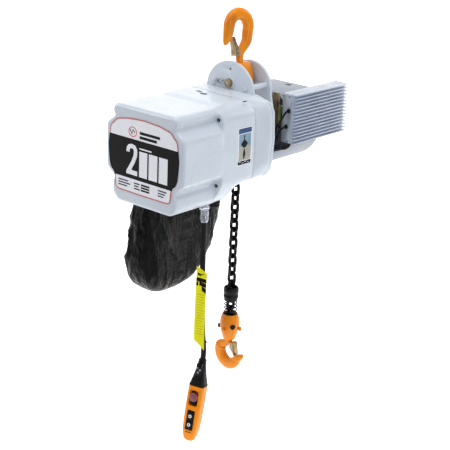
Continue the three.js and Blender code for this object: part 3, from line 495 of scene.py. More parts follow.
SLOT_OF = {made.name: slot for slot, materials in MATERIALS_IN.items() for made in materials}
print("materials:", len(bpy.data.materials))

# %% [markdown]
# ## The housing: a skin from outlines
# The cover is a box at the front and a barrel at the back. Each outline is kept as the
# distance from a centre line in every direction, so two outlines blend into each other by
# mixing those distances. At the front the corners are cut by channels that run back to the
# cover screws; the barrel has none.

# %%
MIDDLE_Z = -171
RAYS = 288
WALL = 7

COVER_HALF = [(0, -27), (110, -27), (122, -31), (128, -40), (128, -48), (117, -60), (147, -83),
              (155, -92), (155, -218), (148, -227), (119, -250), (127, -262), (128, -296),
              (106, -319), (0, -319)]
STEP_HALF = [(0, -27.5), (110, -27.5), (136, -39), (150, -57), (155.3, -155), (152, -246),
             (146, -259), (128.5, -295), (106, -319.2), (0, -319.2)]
CASE_HALF = [(0, -23), (108, -23), (140, -38), (152, -54), (155, -160), (152, -246), (147, -259),
             (128, -291), (106, -317), (0, -318)]
BACK_HALF = [(0, -21), (108, -22), (141, -37), (154, -56), (156, -171), (153, -244), (147, -259),
             (112, -279), (61, -303), (0, -312)]
RIM_HALF = [(0, -18), (105, -20), (160, -35), (172, -60), (177, -140), (172, -215), (150, -256),
            (110, -281), (61, -302), (0, -312)]


def soften(outline, rounds=3):
    """Cuts the corners of a closed outline again and again, which rounds them."""
    for _ in range(rounds):
        cut = []
        for k, (x, z) in enumerate(outline):
            nx, nz = outline[(k + 1) % len(outline)]
            span = math.hypot(nx - x, nz - z)
            share = min(0.25, 5.0 / max(span, 0.1))
            cut.append((x + (nx - x) * share, z + (nz - z) * share))
            cut.append((nx - (nx - x) * share, nz - (nz - z) * share))
        outline = cut
    return outline


def mirrored(half):
    return half + [(-x, z) for x, z in reversed(half[1:-1])]


def reach(half):
    """How far the outline is from the centre, along each ray."""
    whole = [(x, z - MIDDLE_Z) for x, z in soften(mirrored(half))]
    table = []
    for k in range(RAYS):
        angle = 2 * math.pi * k / RAYS
        dx, dz = math.cos(angle), math.sin(angle)
        best = 0
        for (x0, z0), (x1, z1) in zip(whole, whole[1:] + whole[:1]):
            ex, ez = x1 - x0, z1 - z0
            cross = dx * ez - dz * ex
            if abs(cross) < 1e-9:
                continue
            far = (x0 * ez - z0 * ex) / cross
            along = (x0 * dz - z0 * dx) / cross
            if -1e-6 <= along <= 1 + 1e-6 and far > best:
                best = far
        table.append(best)
    return table


COVER, STEP, CASE, BACK, RIM = (reach(h) for h in
                                (COVER_HALF, STEP_HALF, CASE_HALF, BACK_HALF, RIM_HALF))


def blended(first, second, share):
    share = share * share * (3 - 2 * share)
    return [a + (b - a) * share for a, b in zip(first, second)]


def ring_at(table, y, inset=0.0):
    ring = []
    for k, r in enumerate(table):
        angle = 2 * math.pi * k / RAYS
        ring.append((math.cos(angle) * (r - inset), y, MIDDLE_Z + math.sin(angle) * (r - inset)))
    return ring


def stretch(first, second, y0, y1, steps):
    return [ring_at(blended(first, second, s / steps), y0 + (y1 - y0) * s / steps)
            for s in range(steps)]


def front_cover():
    front, edge = -414, 12
    rings = [ring_at(COVER, front, 40), ring_at(COVER, front, edge + 1)]
    for s in range(9):
        turn = math.pi / 2 * s / 8
        rings.append(ring_at(COVER, front + edge * (1 - math.cos(turn)),
                             edge * (1 - math.sin(turn))))
    for span in ((COVER, COVER, -400, -252, 6), (COVER, STEP, -252, -242, 8),
                 (STEP, CASE, -242, -200, 6), (CASE, CASE, -200, -188, 2),
                 (CASE, BACK, -188, -132, 10)):
        rings += stretch(*span)
    for y, inset in ((-132, 0), (-110, 0), (-108.6, 0.4), (-108, 1.4), (-108, WALL), (-150, WALL)):
        rings.append(ring_at(BACK, y, inset))
    return skin(rings, caps=(True, False))


def gear_case():
    rings = [ring_at(BACK, y, inset) for y, inset in
             ((-120, WALL), (-107.7, WALL), (-107.7, 1.4), (-107.1, 0.4))]
    steps = 14
    for s in range(1, steps + 1):
        share = math.sin(s / steps * math.pi / 2)
        mix = [a + (b - a) * share for a, b in zip(BACK, RIM)]
        rings.append(ring_at(mix, -107 + 56.4 * s / steps, 0.8 if s == steps else 0))
    rings += [ring_at(RIM, -50.4, 9), ring_at(RIM, -80, 14)]
    return skin(rings, caps=(False, False))


add("cover_shell", front_cover(), HOUSING, nodes=["front_cover"], sharp=60)
add("gear_shell", gear_case(), HOUSING, nodes=["gear_case"], sharp=60)
print("housing: cover is", round(2 * max(COVER)), "mm across at its widest")

# %% [markdown]
# ## The side sticker
# A thin printed film follows the barrel's side, a quarter of a millimetre proud. Its blue
# head, pale fields and dark block are separate patches of ink, all of them plain shapes.

# %%
FILM, INK, TOP_INK = 0.25, 0.42, 0.6


def side_patch(name, y0, y1, z0, z1, material, lift, inset_ends=0.0):
    def point(u, v, layer):
        z = z0 + (z1 - z0) * v
        squeeze = inset_ends * math.cos(math.pi * v) ** 2
        y = y0 + squeeze + (y1 - y0 - 2 * squeeze) * u
        return side_x(y, z) + layer, y, z
    return add(name, film(24, 10, (lift, lift - 0.18), point), material, sharp=40,
               slot="nameplate_print")


def side_x(y, z):
    """Where the barrel's right side is, at a height and a station along it."""
    share = min(max((y + 188) / 56, 0), 1)
    table = blended(CASE, BACK, share)
    low, high = 0.0, 220.0
    for _ in range(26):
        x = (low + high) / 2
        turn = math.atan2(z - MIDDLE_Z, x) % (2 * math.pi)
        spot = turn / (2 * math.pi) * RAYS
        k = int(spot) % RAYS
        r = table[k] + (table[(k + 1) % RAYS] - table[k]) * (spot - int(spot))
        if math.hypot(x, z - MIDDLE_Z) < r:
            low = x
        else:
            high = x
    return low


side_patch("sticker_film", -181, -121, -203, -90, WHITE_INK, FILM)
side_patch("sticker_head", -179, -123, -107, -92, BLUE_INK, INK)
side_patch("sticker_sky", -177, -125, -146, -109, moulded(
    "pale blue ink", (128, 158, 176), (96, 130, 152), 0.7, 0.36), INK)
side_patch("sticker_ground", -177, -125, -188, -146, moulded(
    "beige ink", (176, 174, 160), (150, 148, 136), 0.6, 0.36), INK)
side_patch("sticker_foot", -179, -123, -201, -190, BLACK_INK, INK)
side_patch("sticker_load", -168, -140, -150, -128, BLACK_INK, TOP_INK, 8)
side_patch("sticker_load_line", -156, -152, -128, -112, BLACK_INK, TOP_INK)
side_patch("sticker_post", -159, -149, -185, -153, BLACK_INK, TOP_INK, 3)
for step in range(4):
    bar = -197.5 if step % 2 else -194
    side_patch(f"sticker_bar_{step + 1}", -174 + 12 * step, -166 + 12 * step, bar, bar + 1.6,
               WHITE_INK, TOP_INK)

# %% [markdown]
# ## The nameplate
# The plate has an arched top and notched corners. Inks lie on it in layers a fifth of a
# millimetre thick: a thin orange border, a broad black band, and white marks. The rating is a
# plain numeral beside three blank bars, and the small print is bars too.

# %%
PLATE_HALF = [(0, -60), (60, -64), (98, -71), (110, -76), (116, -85), (130, -94), (137, -150),
              (133, -200), (127, -219), (115, -226), (110, -240), (107, -273), (100, -277),
              (0, -278)]
PLATE_FACE = -415.3
INK_THICK = 0.2
BAND_FACE = PLATE_FACE - INK_THICK


def shrunk(outline, by):
    """The same outline, drawn in along its normals."""
    count = len(outline)
    result = []
    for k, (x, z) in enumerate(outline):
        ax, az = outline[k - 1]
        bx, bz = outline[(k + 1) % count]
        nx, nz = (bz - az), -(bx - ax)
        size = math.hypot(nx, nz) or 1
        result.append((x - nx / size * by, z - nz / size * by))
    return result


def flat_layer(name, outline, y, material, hole=None, thick=INK_THICK, slot="nameplate_print",
               body="frame", frame_of=row):
    """A thin flat layer facing the front, with an optional hole of the same point count."""
    def at(ring, depth):
        return [(x, depth, z) for x, z in reversed(ring)]
    rings = [at(outline, y), at(outline, y - thick)]
    if hole:
        rings = [at(hole, y), *rings, at(hole, y - thick), at(hole, y)]
    shape = skin(rings, (not hole, not hole))
    return add(name, shape, material, body, slot=slot, sharp=30, frame_of=frame_of)


def bar(name, x0, x1, z0, z1, material=WHITE_INK):
    outline = [(x0, z1), (x1, z1), (x1, z0), (x0, z0)]
    return flat_layer(name, outline, BAND_FACE, material)


plate_outline = soften(mirrored(PLATE_HALF), 4)
add("nameplate_sheet", skin([[(x, y, z) for x, z in reversed(plate_outline)]
                             for y in (PLATE_FACE + 1, PLATE_FACE)]), WHITE_INK,
    nodes=["nameplate"])
flat_layer("plate_border", shrunk(plate_outline, 1.4), PLATE_FACE, ORANGE_INK,
           shrunk(plate_outline, 3.8))


def clipped(outline, low, high):
    """The part of an outline between two heights."""
    def cut(points, level, keep_above):
        kept = []
        for (ax, az), (bx, bz) in zip(points, points[1:] + points[:1]):
            a_in = az >= level if keep_above else az <= level
            b_in = bz >= level if keep_above else bz <= level
            if a_in:
                kept.append((ax, az))
            if a_in != b_in:
                share = (level - az) / (bz - az)
                kept.append((ax + (bx - ax) * share, level))
        return kept
    return cut(cut(outline, low, True), high, False)


flat_layer("plate_band", clipped(shrunk(plate_outline, 4.0), -238, -119), PLATE_FACE, BLACK_INK)


def stroke(name, line, width, material):
    """A flat ribbon of ink along a line of (x, z) points."""
    left, right = [], []
    for i, (x, z) in enumerate(line):
        ax, az = line[max(i - 1, 0)]
        bx, bz = line[min(i + 1, len(line) - 1)]
        size = math.hypot(bx - ax, bz - az) or 1
        nx, nz = -(bz - az) / size * width / 2, (bx - ax) / size * width / 2
        left.append((x + nx, z + nz))
        right.append((x - nx, z - nz))
    return flat_layer(name, left + right[::-1], BAND_FACE, material)


two = [(-66, -226), (-22, -226), (-22, -212), (-46, -212), (-32, -188), (-24, -170), (-22, -156),
       (-24, -146), (-31, -137), (-44, -134), (-57, -137), (-65, -146), (-67, -160), (-54, -160),
       (-53, -152), (-50, -148), (-44, -147), (-38, -149), (-36, -156), (-38, -168), (-46, -186),
       (-60, -208), (-66, -217)]
flat_layer("rating_numeral", two[::-1], BAND_FACE, WHITE_INK)
bar("rating_bar", -14, 34, -144, -140)
for k, (x0, x1) in enumerate([(-14, 18), (24, 58), (64, 98)]):
    bar(f"rating_block_{k + 1}", x0, x1, -226, -150)
for k, (x1, z) in enumerate([(66, -92), (54, -105)]):
    bar(f"title_bar_{k + 1}", -14, x1, z - 8, z, BLACK_INK)


def title_loop(scale):
    """The outline of the round mark, about its centre."""
    loop = [(-42 + 17 * scale * math.cos(a / 24 * math.pi),
             -98 + 15 * scale * math.sin(a / 24 * math.pi)) for a in range(48)]
    return loop[::-1]


flat_layer("title_ring", title_loop(1), PLATE_FACE, ORANGE_INK, title_loop(0.84))
stroke("title_mark", [(-52, -92), (-46, -105), (-40, -91), (-33, -99)], 3.4, BLACK_INK)
small_rows = [(-98, -58), (-98, -50), (-98, -62), (-34, -12), (-34, -16), (-34, -10)]
for k, (x0, x1) in enumerate(small_rows):
    z = -247 - 8 * (k % 3)
    bar(f"small_print_{k + 1}", x0, x1, z - 3.4, z, BLACK_INK)
for k in range(3):
    bar(f"small_block_{k + 1}", -6, 28, -251 - 8 * k, -246 - 8 * k, BLACK_INK)
    bar(f"small_end_{k + 1}", 62, 96 - 6 * k, -250 - 8 * k, -246.6 - 8 * k, BLACK_INK)

# %% [markdown]
# ## Marks and screws on the housing
# Two dark stampings show on the roof, and a thin dark strip is painted shade for a slot.
# Each cap screw stands at the end of its channel, with a washer under its head and a
# six-sided socket in it.

# %%
# The third mark is a thin dark strip for a slot: painted shade in place of the slot's dark inside.
for k, (x, y, w, d) in enumerate([(-14, -150, 22, 11), (-44, -137, 18, 10), (128, -128, 4, 16)]):
    stamp = slab(x - w / 2, x + w / 2, y - d / 2, y + d / 2, -23.0, -20.7)
    place(round_edges(solid(f"roof_mark_{k + 1}", *stamp, BLACK_STEEL), 0.4), "frame",
          slot="black_steel")

SCREW_HEAD = [(0, 2.2), (2.6, 2.2), (2.6, 6.2), (4.3, 6.2), (4.9, 5.6), (4.9, 0.2), (3.2, 0.2),
              (3.2, -14), (0, -14)]
WASHER = [(3.4, -0.2), (7.2, -0.2), (7.2, 0.9), (6.8, 1.2), (3.4, 1.2), (3.4, -0.2)]
for k, (x, z) in enumerate([(134, -57), (134, -253), (-134, -57), (-134, -253)]):
    shape = joined(*[turned(profile, 36, (x, -243.4, z), 1) for profile in (SCREW_HEAD, WASHER)])
    add(f"cap_screw_{k + 1}", shape, BLACK_STEEL, nodes=[f"cover_screw_{k + 1}"])

# %% [markdown]
# ## The frame plates and the suspension pin
# Two thick plates carry everything. Their ears hold the pin, and a small keeper bar sits in a
# slot at its end. The plates are cut and painted, so their edges get only a small round.

# %%
for node, material, width in (
        ("front_frame_plate", HOUSING, 1.0), ("rear_frame_plate", HOUSING, 1.0),
        ("spacer_tube_right", HOUSING, 0.6), ("spacer_tube_left", HOUSING, 0.6),
        ("pin_keeper", STEEL, 0.8), ("sheave_bearing", STEEL, 0.8)):
    dressed(node, "frame", material, width)


def rod_y(radius, x, z, y0, y1, chamfer=1.0, sides=48):
    profile = [(0, y0), (radius - chamfer, y0), (radius, y0 + chamfer), (radius, y1 - chamfer),
               (radius - chamfer, y1), (0, y1)]
    return turned(profile, sides, (x, 0, z), -1)


pin = solid("pin_turned", *rod_y(13, 0, 0, -62, 60, 1.6), ZINC)
carve(pin, solid("slot_cutter", *slab(-20, -9, -58.2, -52.6, -8, 8), ZINC))
place(pin, "frame", ["suspension_pin"], "zinc")
add("pin_centre", rod_y(4.2, 2, 0, -63.2, -61.5, 0.5), STEEL, slot="zinc")
for x in (64, -64):
    add(f"tube_bolt_{x}", rod_y(8.5, x, -8, -53.4, -50.2, 0.8, 6), HOUSING)
cotter = smooth_line([(-44, -58, 3), (-51, -60, 2), (-54, -58, -3), (-48, -57, -5), (-24, -59, -2),
                      (-10, -62, 6), (-4, -63, 12)], 6)
add("pin_cotter", tube(cotter, 0.9, 10), STEEL)

# %% [markdown]
# ## The hooks
# A hook is one bar, swept along a line while its section swells from the neck to the crown
# and dies away at the tip. The stations give the line and the section's two widths, and a
# smooth line through them gives the forging's flow.

# %%
def bowl(centre, inner, crown, start, end, tip_thick, steps=12):
    stations = []
    for k in range(steps + 1):
        share = k / steps
        angle = math.radians(start + (end - start) * share)
        swell = math.sin(math.pi * min(1, share * 1.25))
        if share < 0.55:
            thick = crown * (0.9 + 0.1 * swell)
        else:
            thick = crown + (tip_thick - crown) * ((share - 0.55) / 0.45) ** 1.6
        r = inner + thick / 2
        stations.append((r * math.cos(angle), centre + r * math.sin(angle), thick,
                         min(31, thick * 0.9)))
    return stations


def sweep(stations, plane, sides=32):
    line = smooth_line(stations, 5)
    rings = []
    for k, (t, h, thick, wide) in enumerate(line):
        at, ah = line[max(k - 1, 0)][:2]
        bt, bh = line[min(k + 1, len(line) - 1)][:2]
        size = math.hypot(bt - at, bh - ah)
        ut, uh = (bt - at) / size, (bh - ah) / size
        ring_here = []
        for s in range(sides):
            angle = 2 * math.pi * s / sides
            c, d = math.cos(angle), math.sin(angle)
            inward = thick / 2 * math.copysign(abs(c) ** 0.86, c)
            sideways = wide / 2 * math.copysign(abs(d) ** 0.86, d)
            ring_here.append(plane(t - uh * inward, h + ut * inward, sideways))
        rings.append(ring_here)
    return skin(rings)


def ball(centre, radius):
    profile = [(radius * math.sin(math.pi * k / 16), -radius * math.cos(math.pi * k / 16))
               for k in range(17)]
    return moved(lathe(profile, 32), Matrix.Translation(centre))


LEANED = Matrix.Rotation(-LEAN, 4, "Y")
SWIVEL = Matrix.Rotation(math.radians(-5), 4, "Z")


def top_plane(t, h, s):
    return LEANED @ SWIVEL @ Vector((s, -t, h))


BAR_END = 9
TOP_LATCH_AT = (13, 84)
LOAD_LATCH_AT = (15, -877)
top_stations = [(0, 58, 22, 22), (0, 72, 22, 22), (-4, 86, 25, 23), (-18, 101, 29, 25),
                (-32, 119, 33, 28), *bowl(159, 23, 38, 200, 8, 34),
                (43, 150, 33, 27), (48, 136, 28, 23), (54, 124, 21, 17), (58, 117, 12, 11),
                (60, 113, 5, 5)]
shank = moved(lathe([(0, 30), (10.8, 30), (10.8, 62), (0, 62)], 40), LEANED)
add("top_hook_forging", joined(sweep(top_stations, top_plane), shank,
                               ball(top_plane(*TOP_LATCH_AT, 0), BAR_END)),
    HOOK_PAINT, "top_hook", ["top_hook"], sharp=60)
dressed("hook_yoke", "yoke", HOOK_PAINT, 2.2)

HOOK_TURN = Matrix.Rotation(math.radians(-2), 4, "Z")


def load_plane(t, h, s):
    return HOOK_TURN @ Vector((t, s, h))


load_stations = [(0, -863.6, 22, 22), (-1, -871, 23, 22), (-13, -881, 26, 24),
                 (-28, -888, 29, 25),
                 *[(t + 5, h, a, b) for t, h, a, b in bowl(-906, 23, 40, 163, 328, 27)],
                 (48, -915, 23, 20), (57, -907, 16, 14), (62, -902, 9, 9), (64, -900, 4, 4)]
stem = lathe([(0, -868), (10, -868), (10, -846), (15, -846), (15, -838.5), (0, -838.5)], 40)
add("load_hook_forging", joined(sweep(load_stations, load_plane), stem,
                                ball(load_plane(*LOAD_LATCH_AT, 0), BAR_END)),
    HOOK_PAINT, "load_hook", ["load_hook"], sharp=60)
print("hooks: swept from", len(top_stations), "and", len(load_stations), "stations")

# %% [markdown]
# ## The hook latches
# Each latch is a folded strip of plated steel, with a pin through its cheeks and a small
# spring round the pin.

# %%
dressed("top_latch", "top_latch", ZINC, 0.5)
dressed("load_latch", "load_latch", ZINC, 0.5)


def latch_pin(name, body, plane, t, h):
    ends = [plane(t, h, s) for s in (-13.4, 13.4)]
    spring = []
    for k in range(81):
        angle = 2 * math.pi * k / 20
        spring.append(plane(t + 6.4 * math.cos(angle), h + 6.4 * math.sin(angle), -8 + k * 0.2))
    add(name, joined(tube(ends, 3.2, 20), tube(spring, 0.8, 8)), STEEL, body, slot="zinc")


latch_pin("top_latch_pin", "top_latch", top_plane, *TOP_LATCH_AT)
latch_pin("load_latch_pin", "load_latch", load_plane, *LOAD_LATCH_AT)

# %% [markdown]
# ## The load chain
# Round bar, ten millimetres thick, is bent into links thirty millimetres apart. Each link is
# a racetrack of sections, and the last few twist towards the load block. Four links of the
# fall wait inside the housing, so that the chain stays whole when the hook is let down.

# %%
PITCH = 30
WIRE_R = 5
LINK_BEND = 12.0
LINK_REACH = 29.4
FALL_TOP = -347
SHEAVE_Z = -167
SHEAVE_R = 5 * PITCH / math.pi


def link(number, centre, tilt=0.0, twist=0.0, sides=14, arc=9):
    """One link. Every second one is turned a quarter."""
    straight = LINK_REACH / 2 + WIRE_R - LINK_BEND
    loop = [(LINK_BEND * math.cos(math.pi * k / arc),
             straight + LINK_BEND * math.sin(math.pi * k / arc)) for k in range(arc + 1)]
    loop += [(-x, -z) for x, z in loop]
    stand = (Matrix.Translation(centre) @ Matrix.Rotation(tilt, 4, "Y")
             @ Matrix.Rotation((number % 2) * math.pi / 2 + twist, 4, "Z"))
    rings = []
    for k, (x, z) in enumerate(loop):
        ax, az = loop[k - 1]
        bx, bz = loop[(k + 1) % len(loop)]
        size = math.hypot(bx - ax, bz - az)
        ox, oz = (bz - az) / size, -(bx - ax) / size
        rings.append([stand @ Vector((x + ox * WIRE_R * math.cos(a), WIRE_R * math.sin(a),
                                      z + oz * WIRE_R * math.cos(a)))
                      for a in (2 * math.pi * s / sides for s in range(sides))])
    return skin(rings + [rings[0]], (False, False))


BLOCK_TURN = math.radians(-32)
links = [link(k, (0, 0, FALL_TOP - PITCH * k), twist=max(0, k - 12) / 3 * BLOCK_TURN)
         for k in range(-4, 16)]
add("load_chain_links", joined(*links), BLACK_STEEL, "load_block", ["load_chain"])

spots = [((0, 0, FALL_TOP + PITCH * step), 0) for step in (5, 6)]
for step in range(1, 5):
    angle = math.radians(36 * step)
    spots.append(((-SHEAVE_R + (SHEAVE_R + 1) * math.cos(angle), 0,
                   SHEAVE_Z + (SHEAVE_R + 1) * math.sin(angle)), -angle))
spots += [((-2 * SHEAVE_R, 0, SHEAVE_Z - PITCH * step), 0) for step in range(6)]
slack = [link(k, spot, tilt) for k, (spot, tilt) in enumerate(spots, 5)]
add("slack_chain_links", joined(*slack), BLACK_STEEL, nodes=["slack_chain"])
print("chain: ", len(links), "links on the fall and", len(slack), "on the slack side")

# %% [markdown]
# ## The lever under the guide
# A dark rubber lever reaches out beside the chain, below the cover. The rubber stop presses it
# when the hook is right up.

# %%
lever = smooth_line([(-52, -40, -322, 3.5), (-44, -33, -324, 5), (-32, -26, -328, 7.4),
                     (-24, -21, -330, 8.4), (-18, -17, -330, 6.4), (-15.5, -15.5, -330, 2.5)], 6)
LEVER_SIDE = Vector((0.63, -0.78, 0))
lever_rings = [[Vector((x, y, z)) + LEVER_SIDE * r * 0.9 * math.cos(a)
                + Vector((0, 0, r * 0.72 * math.sin(a)))
                for a in (2 * math.pi * k / 20 for k in range(20))] for x, y, z, r in lever]
add("limit_lever", skin(lever_rings), RUBBER, sharp=60)

# %% [markdown]
# ## The rubber stop, the spring and the load block
# The block is two half shells that close round the last link and the hook's collar. Above it
# a coil spring carries a rubber stop, which meets the guide when the hook is right up.

# %%
stop_profile = [(17.6, -724), (17.6, -690), (18.6, -682), (20.4, -679), (22.2, -679),
                (24.2, -682), (24.5, -687), (24.5, -697), (22.6, -699), (22.6, -703),
                (24.2, -705), (24.2, -712), (22.4, -718), (21.6, -724.4), (17.6, -724.4)]
add("rubber_stop", lathe(stop_profile, 72), RUBBER, "load_block", ["stop_buffer"], sharp=50)

COIL_R = 19.7
coil_line = []
for k in range(4 * 40 + 21):
    angle = 2 * math.pi * k / 40
    coil_line.append((COIL_R * math.cos(angle), COIL_R * math.sin(angle), -784.4 + 56.8 * k / 180))
add("buffer_coil", tube(coil_line, 1.9, 12), BLACK_STEEL, "load_block", ["buffer_spring"])

block_profile = [(10.8, -861.4), (15.6, -862), (18.4, -861), (20.6, -857), (24.2, -846),
                 (28.6, -832), (31.2, -820), (32, -812), (32, -802), (31.3, -793), (29.6, -783),
                 (27.2, -776), (25.6, -772.4), (24.8, -771.4), (23.4, -771.4), (22.6, -772.6),
                 (22.6, -786.6), (19.2, -787.4), (19, -829), (16.4, -834), (16.4, -847.5),
                 (10.8, -848), (10.8, -861.4)]
for k, start in enumerate((BLOCK_TURN, BLOCK_TURN + math.pi)):
    gap = 0.006
    half = lathe(block_profile, 48, start + gap, start + math.pi - gap)
    add(f"block_shell_{k + 1}", half, HOOK_PAINT, "load_block", [f"block_half_{2 - k}"], sharp=40)

BLOCK_STAND = Matrix.Rotation(BLOCK_TURN, 4, "Z")
socket_head = [(0, 5.6), (3.4, 5.6), (3.4, 10), (6.2, 10), (7.2, 9), (7.2, 2.6), (0, 2.6)]
for k, (x, material) in enumerate(((-21, BLACK_STEEL), (21, HOOK_PAINT))):
    heads = [moved(turned(socket_head, 36, (x, side * 23, -821), -side), BLOCK_STAND)
             for side in (-1, 1)]
    add(f"block_screw_{k + 1}", joined(*heads), material, "load_block", [f"block_bolt_{k + 1}"],
        "black_steel")


def pin_sides(profile, sides):
    """A shape at both ends of the chain pin."""
    return joined(*[moved(lathe(profile, sides),
                          Matrix.Translation((0, 0, -808)) @ BLOCK_STAND
                          @ Matrix.Rotation(side, 4, "Z") @ Matrix.Rotation(math.pi / 2, 4, "Y"))
                    for side in (0, math.pi)])


pin_head = [(0, 32.6), (3.6, 32.6), (3.6, 35), (7.2, 35), (8.4, 33.8), (8.4, 20), (0, 20)]
boss = [(9, 24), (9, 32.8), (11.6, 32.8), (13.4, 30.6), (14.4, 24), (9, 24)]
add("chain_pin_ends", pin_sides(pin_head, 36), BLACK_STEEL, "load_block", ["chain_pin"])
add("chain_pin_bosses", pin_sides(boss, 48), HOOK_PAINT, "load_block")

# %% [markdown]
# ## The drive between the plates
# Behind the covers the load sheave, two gear stages, the motor and its disc brake turn on
# ball bearings. They are barely seen, so they keep the frame's own shapes, with their edges
# broken and worked metal on them.

# %%
for node, body, material, width, slot in (
        ("chain_guide", "frame", CAST, 1.2, "black_steel"),
        ("load_sheave", "sheave", CAST, 0.8, "bright_steel"),
        ("output_gear", "sheave", STEEL, 0.3, None),
        ("second_pinion", "middle_shaft", STEEL, 0.3, None),
        ("first_gear", "middle_shaft", STEEL, 0.3, None),
        ("motor_pinion", "rotor", STEEL, 0.3, None),
        ("rotor", "rotor", STEEL, 0.5, "bright_steel"),
        ("brake_disc", "rotor", BLACK_STEEL, 0.5, None),
        ("motor_stator", "frame", CAST, 1.0, None)):
    dressed(node, body, material, width, slot)

# %% [markdown]
# ## The chain bag
# Coated cloth hangs from a steel ring and catches the slack chain. It is a lofted shell: the
# sections shrink to a rounded bottom that sags to the rear, the folds run down from where the
# ring holds it, and a finer crumple covers everything. The outer skin is closed by an inner
# one a few millimetres inside.

# %%
def make_cloth():
    group, given, place_of = start_group("Coated cloth", {
        "Color": (0.012, 0.012, 0.014, 1), "Painted Highlight Color": (0.1, 0.1, 0.1, 1),
        "Roughness": 0.3, "Weave Scale": 900.0})
    # Pale streaks along the folds are painted highlights: a stretched noise mixes a lighter
    # grey-brown into the black cloth.
    highlight_noise = add_noise(group, place_of, 15.0, 6.0, stretch=(2.0, 2.0, 0.42))
    highlight_streak = add_range(group, highlight_noise, 0.53, 0.66, 0.0, 1.0)
    broad = add_noise(group, place_of, 5.0, 2.0)
    mask = add_sum(group, highlight_streak, add_range(group, broad, 0.4, 0.62, 0.0, 1.0), "MULTIPLY")
    weave = add_noise(group, place_of, given["Weave Scale"], 1.0)
    crinkle = add_noise(group, place_of, 22.0, 3.0, stretch=(1.3, 1.3, 0.4))
    relief = add_sum(group, add_range(group, crinkle, 0.36, 0.64, 0.0, 9.0), weave)
    return end_group(group, given, mask, "Painted Highlight Color", highlight_noise, (-0.06, 0.16), relief)


# Nearly black cloth. The second colour is the painted highlight on its streaks.
BAG_CLOTH = surface("coated cloth", make_cloth(), {
    "Color": linear(6, 6, 7), "Painted Highlight Color": linear(72, 66, 60), "Roughness": 0.2},
    bump=0.6, reach=0.0012, specular=0.16)

BAG_TOP = -352
BAG_FOOT = -649
FOLD_LIMIT = 6.5
BAG_LEVELS = [(-347.5, -158, -46, -322, 29), (-352, -158, -46, -322, 29),
              (-390, -161, -44, -329, 21), (-430, -164, -42, -335, 10),
              (-475, -166, -41, -341, -7), (-520, -168, -40, -346, -26),
              (-556, -167, -41, -344, -46), (-590, -164, -43, -334, -66),
              (-614, -157, -49, -317, -94), (-632, -148, -58, -296, -128),
              (-644, -136, -70, -272, -160), (-649, -124, -82, -250, -184)]


def bag_ring(level, inset, across=180):
    z, x0, x1, y0, y1 = level
    middle_x, middle_y = (x0 + x1) / 2, (y0 + y1) / 2
    drop = min(max((BAG_TOP - z) / 60, 0), 1)
    foot = min(max((z - BAG_FOOT) / 60, 0.25), 1)
    points = []
    for k in range(across):
        turn = 2 * math.pi * k / across
        c, s = math.cos(turn), math.sin(turn)
        x = math.copysign(abs(c) ** 0.55, c) * ((x1 - x0) / 2 - inset)
        y = math.copysign(abs(s) ** 0.55, s) * ((y1 - y0) / 2 - inset)
        spot = Vector((middle_x + x, middle_y + y, z))
        lean = 0.34 * (z - BAG_TOP)
        strain = Vector((spot.x * 0.02, (spot.y + lean) * 0.02, z * 0.004))
        ridge = 1 - 2 * abs(noise.noise(strain))
        crease = 1 - 2 * abs(noise.noise(strain * 2.3 + Vector((7, 3, 1))))
        wave = noise.noise(Vector((spot.x, spot.y, z * 0.5)) * 0.012) * 9
        small = noise.noise(spot * 0.05) * 0.6
        out = 8 * ridge ** 3 + 4 * crease ** 4 + wave * 0.7 + small - 4
        out *= drop * foot
        outward = Vector((x, y, 0)).normalized()
        points.append(spot + outward * min(out, FOLD_LIMIT))
    return points


levels = smooth_line(BAG_LEVELS, 7)
outside = [bag_ring(level, 0) for level in levels]
inside = [bag_ring((level[0] + (3 if k > len(levels) - 4 else 0), *level[1:]), 3.2)
          for k, level in enumerate(levels)]
bag_shape = skin(inside[::-1] + outside)
add("bag_cloth_shell", bag_shape, BAG_CLOTH, nodes=["chain_bag"], slot="bag_cloth", sharp=80)

hem_line = bag_ring((BAG_TOP, -158, -46, -322, 29), -1.2)
hem_rings = [[Vector((p.x, p.y, p.z + dz)) + Vector((p.x + 102, p.y + 146, 0)).normalized() * out
              for p in hem_line]
             for dz, out in [(0, 0), (-1, 1.0), (-20, 1.2), (-22, 0.2), (-22, -2.5), (0, -2.5)]]
add("bag_hem", skin(hem_rings + [hem_rings[0]], (False, False)), BAG_CLOTH, slot="bag_cloth",
    sharp=50)
dressed("bag_bracket", "frame", BLACK_STEEL, 0.8)
NUT = [(0, 0), (6.5, 0), (7.2, 0.8), (7.2, 4.4), (6.5, 5.2), (3, 5.2), (3, 8), (0, 8)]
for k, (x, y) in enumerate([(-70, -250), (-112, -250), (-70, -194), (-112, -194)]):
    add(f"bracket_nut_{k + 1}", turned(NUT, 6, (x, y, -332)), STEEL)
print("bag:", len(bag_shape[0]), "points in", len(levels), "levels")

# %% [markdown]
# ## The gland, the supply inlet and the pendant's cable
# A plated gland grips the cable under the cover: a knurled dome nut below a six-sided body.
# The cable is a real cord that hangs nearly straight. Where it meets the pendant, a sleeve
# of rings tapers on to it.

